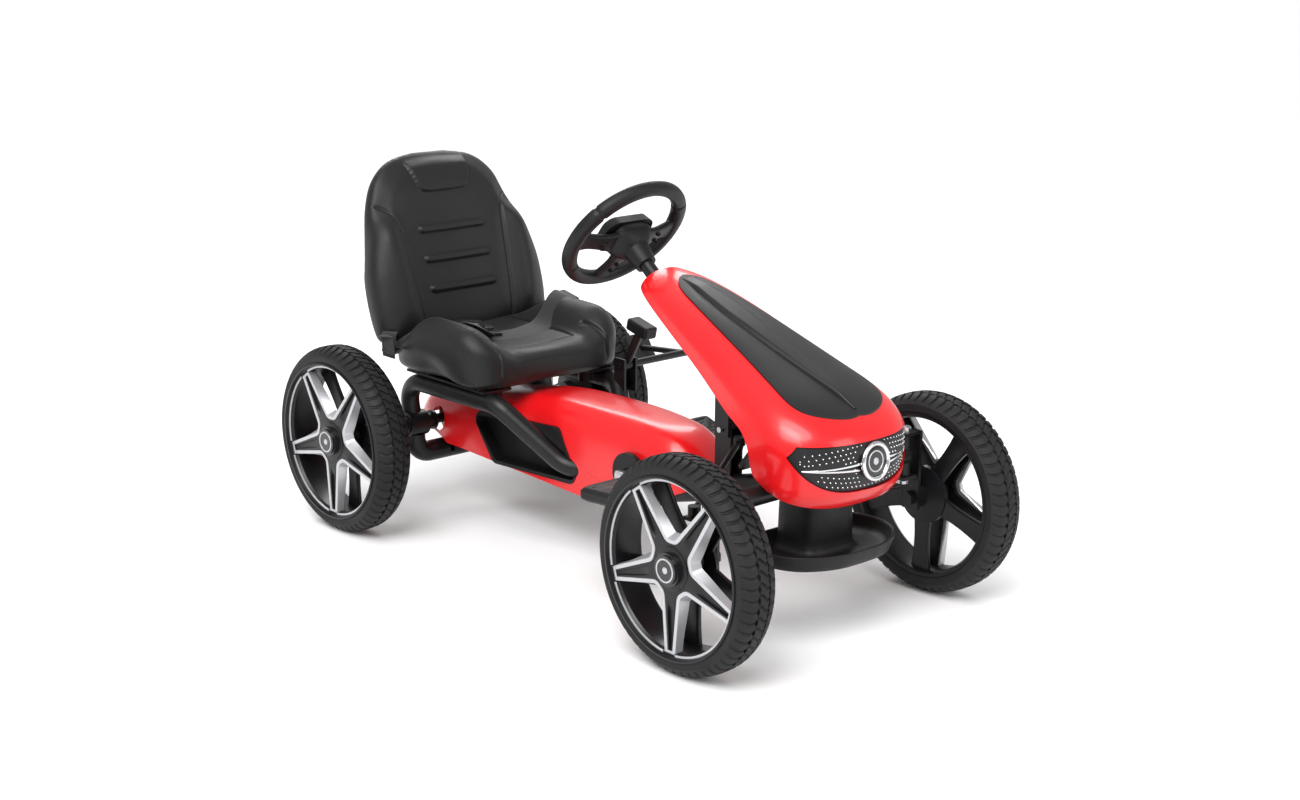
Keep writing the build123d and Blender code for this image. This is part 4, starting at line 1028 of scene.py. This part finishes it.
belt_x = base_low[0] + 0.118
over_seat = laid([(belt_x - 0.010, 0.140), (belt_x, 0.110), (belt_x + 0.012, 0.070), (belt_x + 0.022, 0.020),
                  (belt_x + 0.018, -0.030), (belt_x + 0.006, -0.068)], 0.0030)
tail = smooth_path([(belt_x - 0.020, 0.166, base_low[2] + 0.010),
                    (belt_x - 0.018, 0.168, base_low[2] + 0.045),
                    (belt_x - 0.014, 0.157, over_seat[0, 2] - 0.004), tuple(over_seat[0])], 30)
belt = strap("belt_webbing", np.concatenate([tail[:-1], over_seat]), WEBBING_WIDTH, WEBBING_THICKNESS,
             (0.25, 0.12, 1.0))
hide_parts("lap_belt")
near_top = laid([(belt_x - 0.060, -0.084), (belt_x - 0.072, -0.112), (belt_x - 0.080, -0.142)], 0.0022, 40)
near_side = smooth_path([tuple(near_top[-1]), (belt_x - 0.082, -0.163, near_top[-1, 2] - 0.016),
                         (belt_x - 0.084, -0.1695, base_low[2] + 0.050),
                         (belt_x - 0.084, -0.168, base_low[2] + 0.012)], 34)
strap("belt_near", np.concatenate([near_top, near_side[1:]]), WEBBING_WIDTH, WEBBING_THICKNESS,
      (0.0, -0.5, 1.0))

# %% [markdown]
# The buckle end lies in a loose heap beside the near bolster: a folded tail of webbing, an
# adjuster and the buckle's two halves, each a rounded body carried along a short path.

# %% Buckle
def rounded_body(name, path, width, height, power, material, swell=None, body="seat"):
    """A closed body: a superellipse carried along a path, shrinking to both ends like a lozenge."""
    share = np.linspace(0, 1, len(path))
    size = (1 - np.abs(2 * share - 1) ** 6) ** (1 / 6) * 0.94 + 0.06
    if swell is not None:
        size = size * swell(share)
    loop = oval(width / 2, height / 2, power, 28)
    return make_piece(name, [stack_surface(carry(path, loop * size[:, None, None], (0.1, 0.1, 1.0)))],
                      material, body)


heap = np.array([belt_x + 0.004, -0.074])
buckle_path = laid([heap + (0.002, -0.010), heap + (0.016, -0.014), heap + (0.040, -0.016)], 0.017, 14)
buckle = rounded_body("buckle_body", buckle_path, 0.040, 0.013, 4.0, buckle_black)
tongue_path = laid([heap + (0.012, 0.026), heap + (0.020, 0.010), heap + (0.030, -0.004)], 0.021, 12)
rounded_body("buckle_tongue", tongue_path, 0.032, 0.007, 5.0, buckle_black)
adjuster_path = laid([heap + (-0.006, 0.040), heap + (0.000, 0.050), heap + (0.004, 0.060)], 0.008, 10)
rounded_body("belt_adjuster", adjuster_path, 0.038, 0.006, 6.0, buckle_black)
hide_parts("belt_buckle")
fold = laid([heap + (0.010, 0.020), heap + (0.030, 0.012), heap + (0.052, -0.008), heap + (0.046, -0.024),
             heap + (0.024, -0.022)], 0.006, 50)
fold[:, 2] += 0.010 * np.sin(np.linspace(0, math.pi, len(fold)))
strap("belt_tail", fold, 0.030, WEBBING_THICKNESS, (0.1, 0.3, 1.0))

# %% [markdown]
# ## Steering wheel
# The grip is a ring with shallow joints where its covering meets, and three arms sweep back from
# it to a boss that narrows to the column. Positions are written in the wheel's own plane.

# %% Steering wheel
wheel_low, wheel_high = (np.array(corner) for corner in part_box("steering_wheel"))
WHEEL_CENTRE = (wheel_low + wheel_high) / 2
FACING = unit(np.array(joints["steering_turn"]["axis"], float))
LEFTWARD = np.array([0.0, 1.0, 0.0])
DOWNWARD = np.cross(FACING, LEFTWARD)
GRIP_RADIUS = 0.095


def on_wheel(x, y, n):
    """x to the left, y down the wheel's face and n towards the driver."""
    x, y, n = np.broadcast_arrays(x, y, n)
    return WHEEL_CENTRE + x[..., None] * LEFTWARD + y[..., None] * DOWNWARD + n[..., None] * FACING


turn = np.arange(240) * 2 * np.pi / 240
joint_angles = np.radians([35, 145, 215, 325])
gap = np.abs((turn[:, None] - joint_angles + np.pi) % (2 * np.pi) - np.pi).min(1)
thick = 1 - 0.13 * (gap < 0.02) + 0.05 * np.cos(gap * 2)
loop = oval(1, 1, 2.3, 28)
grip_r = GRIP_RADIUS + 0.0108 * loop[None, :, 0] * thick[:, None]
grip = on_wheel(grip_r * np.cos(turn[:, None]), grip_r * np.sin(turn[:, None]),
                0.0108 * loop[None, :, 1] * thick[:, None])
surfaces = [ring_surface(grip)]
for angle, width in ((0, 0.019), (math.pi, 0.019), (math.pi / 2, 0.017)):
    reach = np.linspace(0.012, 0.091, 16)
    dip = -0.013 + 0.011 * rise(reach, 0.03, 0.092)
    half = width * (1 - 0.30 * rise(reach, 0.02, 0.06) + 0.28 * rise(reach, 0.07, 0.092))
    section = oval(1, 1, 3.6, 24)
    side = half[:, None] * section[None, :, 0]
    deep = dip[:, None] + 0.0062 * section[None, :, 1]
    x = reach[:, None] * math.cos(angle) - side * math.sin(angle)
    y = reach[:, None] * math.sin(angle) + side * math.cos(angle)
    surfaces.append(stack_surface(on_wheel(x, y, deep)))
boss_n = np.array([-0.002, -0.004, -0.010, -0.018, -0.026, -0.032, -0.036])
boss_w = np.array([0.030, 0.034, 0.036, 0.034, 0.029, 0.024, 0.019])
boss_h = np.array([0.024, 0.028, 0.030, 0.029, 0.026, 0.023, 0.019])
section = oval(1, 1, 3.0, 40)
surfaces.append(stack_surface(on_wheel(boss_w[:, None] * section[None, :, 0],
                                       boss_h[:, None] * section[None, :, 1], boss_n[:, None])))
wheel = make_piece("steering_grip", surfaces, moulded_black, "steering")
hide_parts("steering_wheel")
screws = []
for x, y in ((0.052, 0.006), (-0.052, 0.006), (0.052, -0.008), (-0.052, -0.008), (0.0, 0.050), (0.0, 0.068)):
    angle = np.arange(14) * 2 * np.pi / 14
    radius = np.array([0.0034, 0.0036, 0.0030, 0.0026])[:, None]
    depth = np.array([-0.0130, -0.0185, -0.0190, -0.0165])[:, None] + 0.004 * (np.hypot(x, y) > 0.06)
    screws.append(stack_surface(on_wheel(x + radius * np.cos(angle), y + radius * np.sin(angle), depth)))
make_piece("steering_screws", screws, deep_black, "steering")

# %% [markdown]
# ## Pedals
# Each pedal is a moulded block. Its height is a function of place: a raised border and a raised
# cross on both faces, with fine cross grooves between, so a shoe grips it.

# %% Pedals
PEDAL_PITCH = {"right": math.radians(-4), "left": math.radians(20)}
PEDAL_HALF = np.array([0.046, 0.043, 0.0118])


def pedal_surface(middle, pitch):
    """Loops (y, z) along the pedal's length; ridges lift the two broad faces."""
    share = np.sin(np.linspace(-1, 1, 72) * math.pi / 2)
    x = (PEDAL_HALF[0] * share)[:, None]
    shrink = ((1 - np.abs(share) ** 9) ** (1 / 9))[:, None]
    loop = oval(1, 1, 5.0, 150)
    y = PEDAL_HALF[1] * loop[None, :, 0] * (0.86 + 0.14 * shrink)
    z = (PEDAL_HALF[2] - 0.0014) * loop[None, :, 1] * (0.25 + 0.75 * shrink)
    edge = np.maximum(np.abs(x) / PEDAL_HALF[0], np.abs(y) / PEDAL_HALF[1])
    share_x, share_y = x / PEDAL_HALF[0], y / PEDAL_HALF[1]
    cross = np.minimum(np.abs(share_x - share_y), np.abs(share_x + share_y))
    ridge = np.maximum(1 - rise(cross, 0.10, 0.17), rise(edge, 0.76, 0.82) * (1 - rise(edge, 0.90, 0.95)))
    ridge = np.maximum(ridge, 0.35 * (np.sin(x * 2 * np.pi / 0.008) > 0.2) * (edge < 0.76))
    broad = rise(np.abs(z), PEDAL_HALF[2] * 0.62, PEDAL_HALF[2] * 0.80)
    z = z + np.sign(z) * 0.0014 * ridge * broad
    c, s = math.cos(pitch), math.sin(pitch)
    return stack_surface(middle + np.stack([x * c + z * s, y, -x * s + z * c], -1))


for name, side in (("right", -1), ("left", 1)):
    low, high = (np.array(corner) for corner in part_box("pedal_" + name))
    surface = pedal_surface((low + high) / 2, PEDAL_PITCH[name])
    block = make_piece("pedal_block_" + name, [surface], moulded_black, "pedal_" + name,
                       crease=0.8)
    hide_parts("pedal_" + name)

# %% [markdown]
# ## Bumper
# One moulding: a shallow tray with a rolled lip, and a broad pillar that rises from its floor to
# the nose. Both outlines are distances from a common middle at every angle, so a stack of loops
# can pass from one to the other with a soft fillet between.

# %% Bumper
bumper_low = np.array(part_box("bumper")[0])
bumper_x = bumper_low[0] + 0.051
edge = smooth_path([(-0.051, 0.0), (-0.051, 0.060), (-0.049, 0.098), (-0.020, 0.112), (0.018, 0.1175),
                    (0.055, 0.104), (0.080, 0.076), (0.094, 0.040), (0.097, 0.0)], 120)
edge = np.concatenate([edge, edge[-2:0:-1] * np.array([1, -1])])
bearing = np.arange(120) * 2 * np.pi / 120
edge_bearing = np.arctan2(edge[:, 1], edge[:, 0]) % (2 * np.pi)
order = np.argsort(edge_bearing)
tray_reach = np.interp(bearing, edge_bearing[order], np.hypot(*edge[order].T), period=2 * np.pi)
pillar = oval(0.040, 0.047, 4.0, 720)
pillar_bearing = np.arctan2(pillar[:, 1], pillar[:, 0]) % (2 * np.pi)
order = np.argsort(pillar_bearing)
pillar_reach = np.interp(bearing, pillar_bearing[order], np.hypot(*pillar[order].T), period=2 * np.pi)
TRAY_ROWS = [(0.030, 0.0000), (0.010, 0.0000), (0.0065, 0.0015), (0.0040, 0.0080), (0.0012, 0.0165),
             (0.0002, 0.0210), (0.0000, 0.0222), (0.0012, 0.0232), (0.0032, 0.0228), (0.0060, 0.0190),
             (0.0110, 0.0100), (0.0160, 0.0060), (0.0240, 0.0046)]
PILLAR_ROWS = [(1.22, 0.0048), (1.10, 0.0075), (1.035, 0.0130), (1.005, 0.0240), (1.0, 0.0400),
               (0.98, 0.0820)]
reach = np.concatenate([[tray_reach - inset for inset, _ in TRAY_ROWS],
                        [pillar_reach * size for size, _ in PILLAR_ROWS]])
level = np.array([z for _, z in TRAY_ROWS + PILLAR_ROWS])[:, None] + bumper_low[2]
loops = np.stack([bumper_x + reach * np.cos(bearing), reach * np.sin(bearing), level + 0 * reach], -1)
bumper = make_piece("bumper_moulding", [stack_surface(loops)], moulded_black, "chassis",
                    crease=1.1)
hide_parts("bumper")

# %% [markdown]
# ## Floor and light
# A plain pale floor and soft studio light: a broad key from the camera's left, a fill from its
# right and a strip behind, over an even pale surround.

# %% Floor
floor_mesh = bpy.data.meshes.new("floor")
reach = 40.0
floor_corners = [(-reach, -reach, 0), (reach, -reach, 0), (reach, reach, 0), (-reach, reach, 0)]
floor_mesh.from_pydata(floor_corners, [], [(0, 1, 2, 3)])
floor = bpy.data.objects.new("floor", floor_mesh)
bpy.context.scene.collection.objects.link(floor)
floor_finish = new_finish("floor_pale", (0.90, 0.90, 0.90), 0.9)
add_grain(floor_finish, 60, 0.02, 0.001)
floor.data.materials.append(floor_finish)

# %% [markdown]
# The wide soft sun keeps the floor pale while the surround stays dim enough for the blacks to stay
# dark. The three area lights put soft highlights on the paint and the padded skin.

# %% Lights
world = bpy.data.worlds.new("studio")
bpy.context.scene.world = world
world.use_nodes = True
world.node_tree.nodes["Background"].inputs["Color"].default_value = (1, 1, 1, 1)
world.node_tree.nodes["Background"].inputs["Strength"].default_value = 0.58


def area_light(name, place, target, size, power):
    data = bpy.data.lights.new(name, "AREA")
    data.shape = "RECTANGLE"
    data.size, data.size_y = size
    data.energy = power
    light = bpy.data.objects.new(name, data)
    light.matrix_world = (Matrix.Translation(place)
                          @ (Vector(target) - Vector(place)).to_track_quat("-Z", "Y").to_matrix().to_4x4())
    bpy.context.scene.collection.objects.link(light)


sun_data = bpy.data.lights.new("sun", "SUN")
sun_data.energy = 2.1
sun_data.angle = math.radians(40)
sun = bpy.data.objects.new("sun", sun_data)
sun.rotation_euler = (math.radians(28), math.radians(18), 0)
bpy.context.scene.collection.objects.link(sun)
area_light("key", (1.2, -2.6, 2.6), (0, 0, 0.2), (1.8, 1.8), 55)
area_light("fill", (3.0, 0.8, 1.6), (0.2, 0, 0.2), (1.6, 1.6), 25)
area_light("back_strip", (-2.2, 1.6, 2.4), (0, 0, 0.3), (2.4, 0.8), 40)
bpy.context.scene.view_settings.view_transform = "Standard"
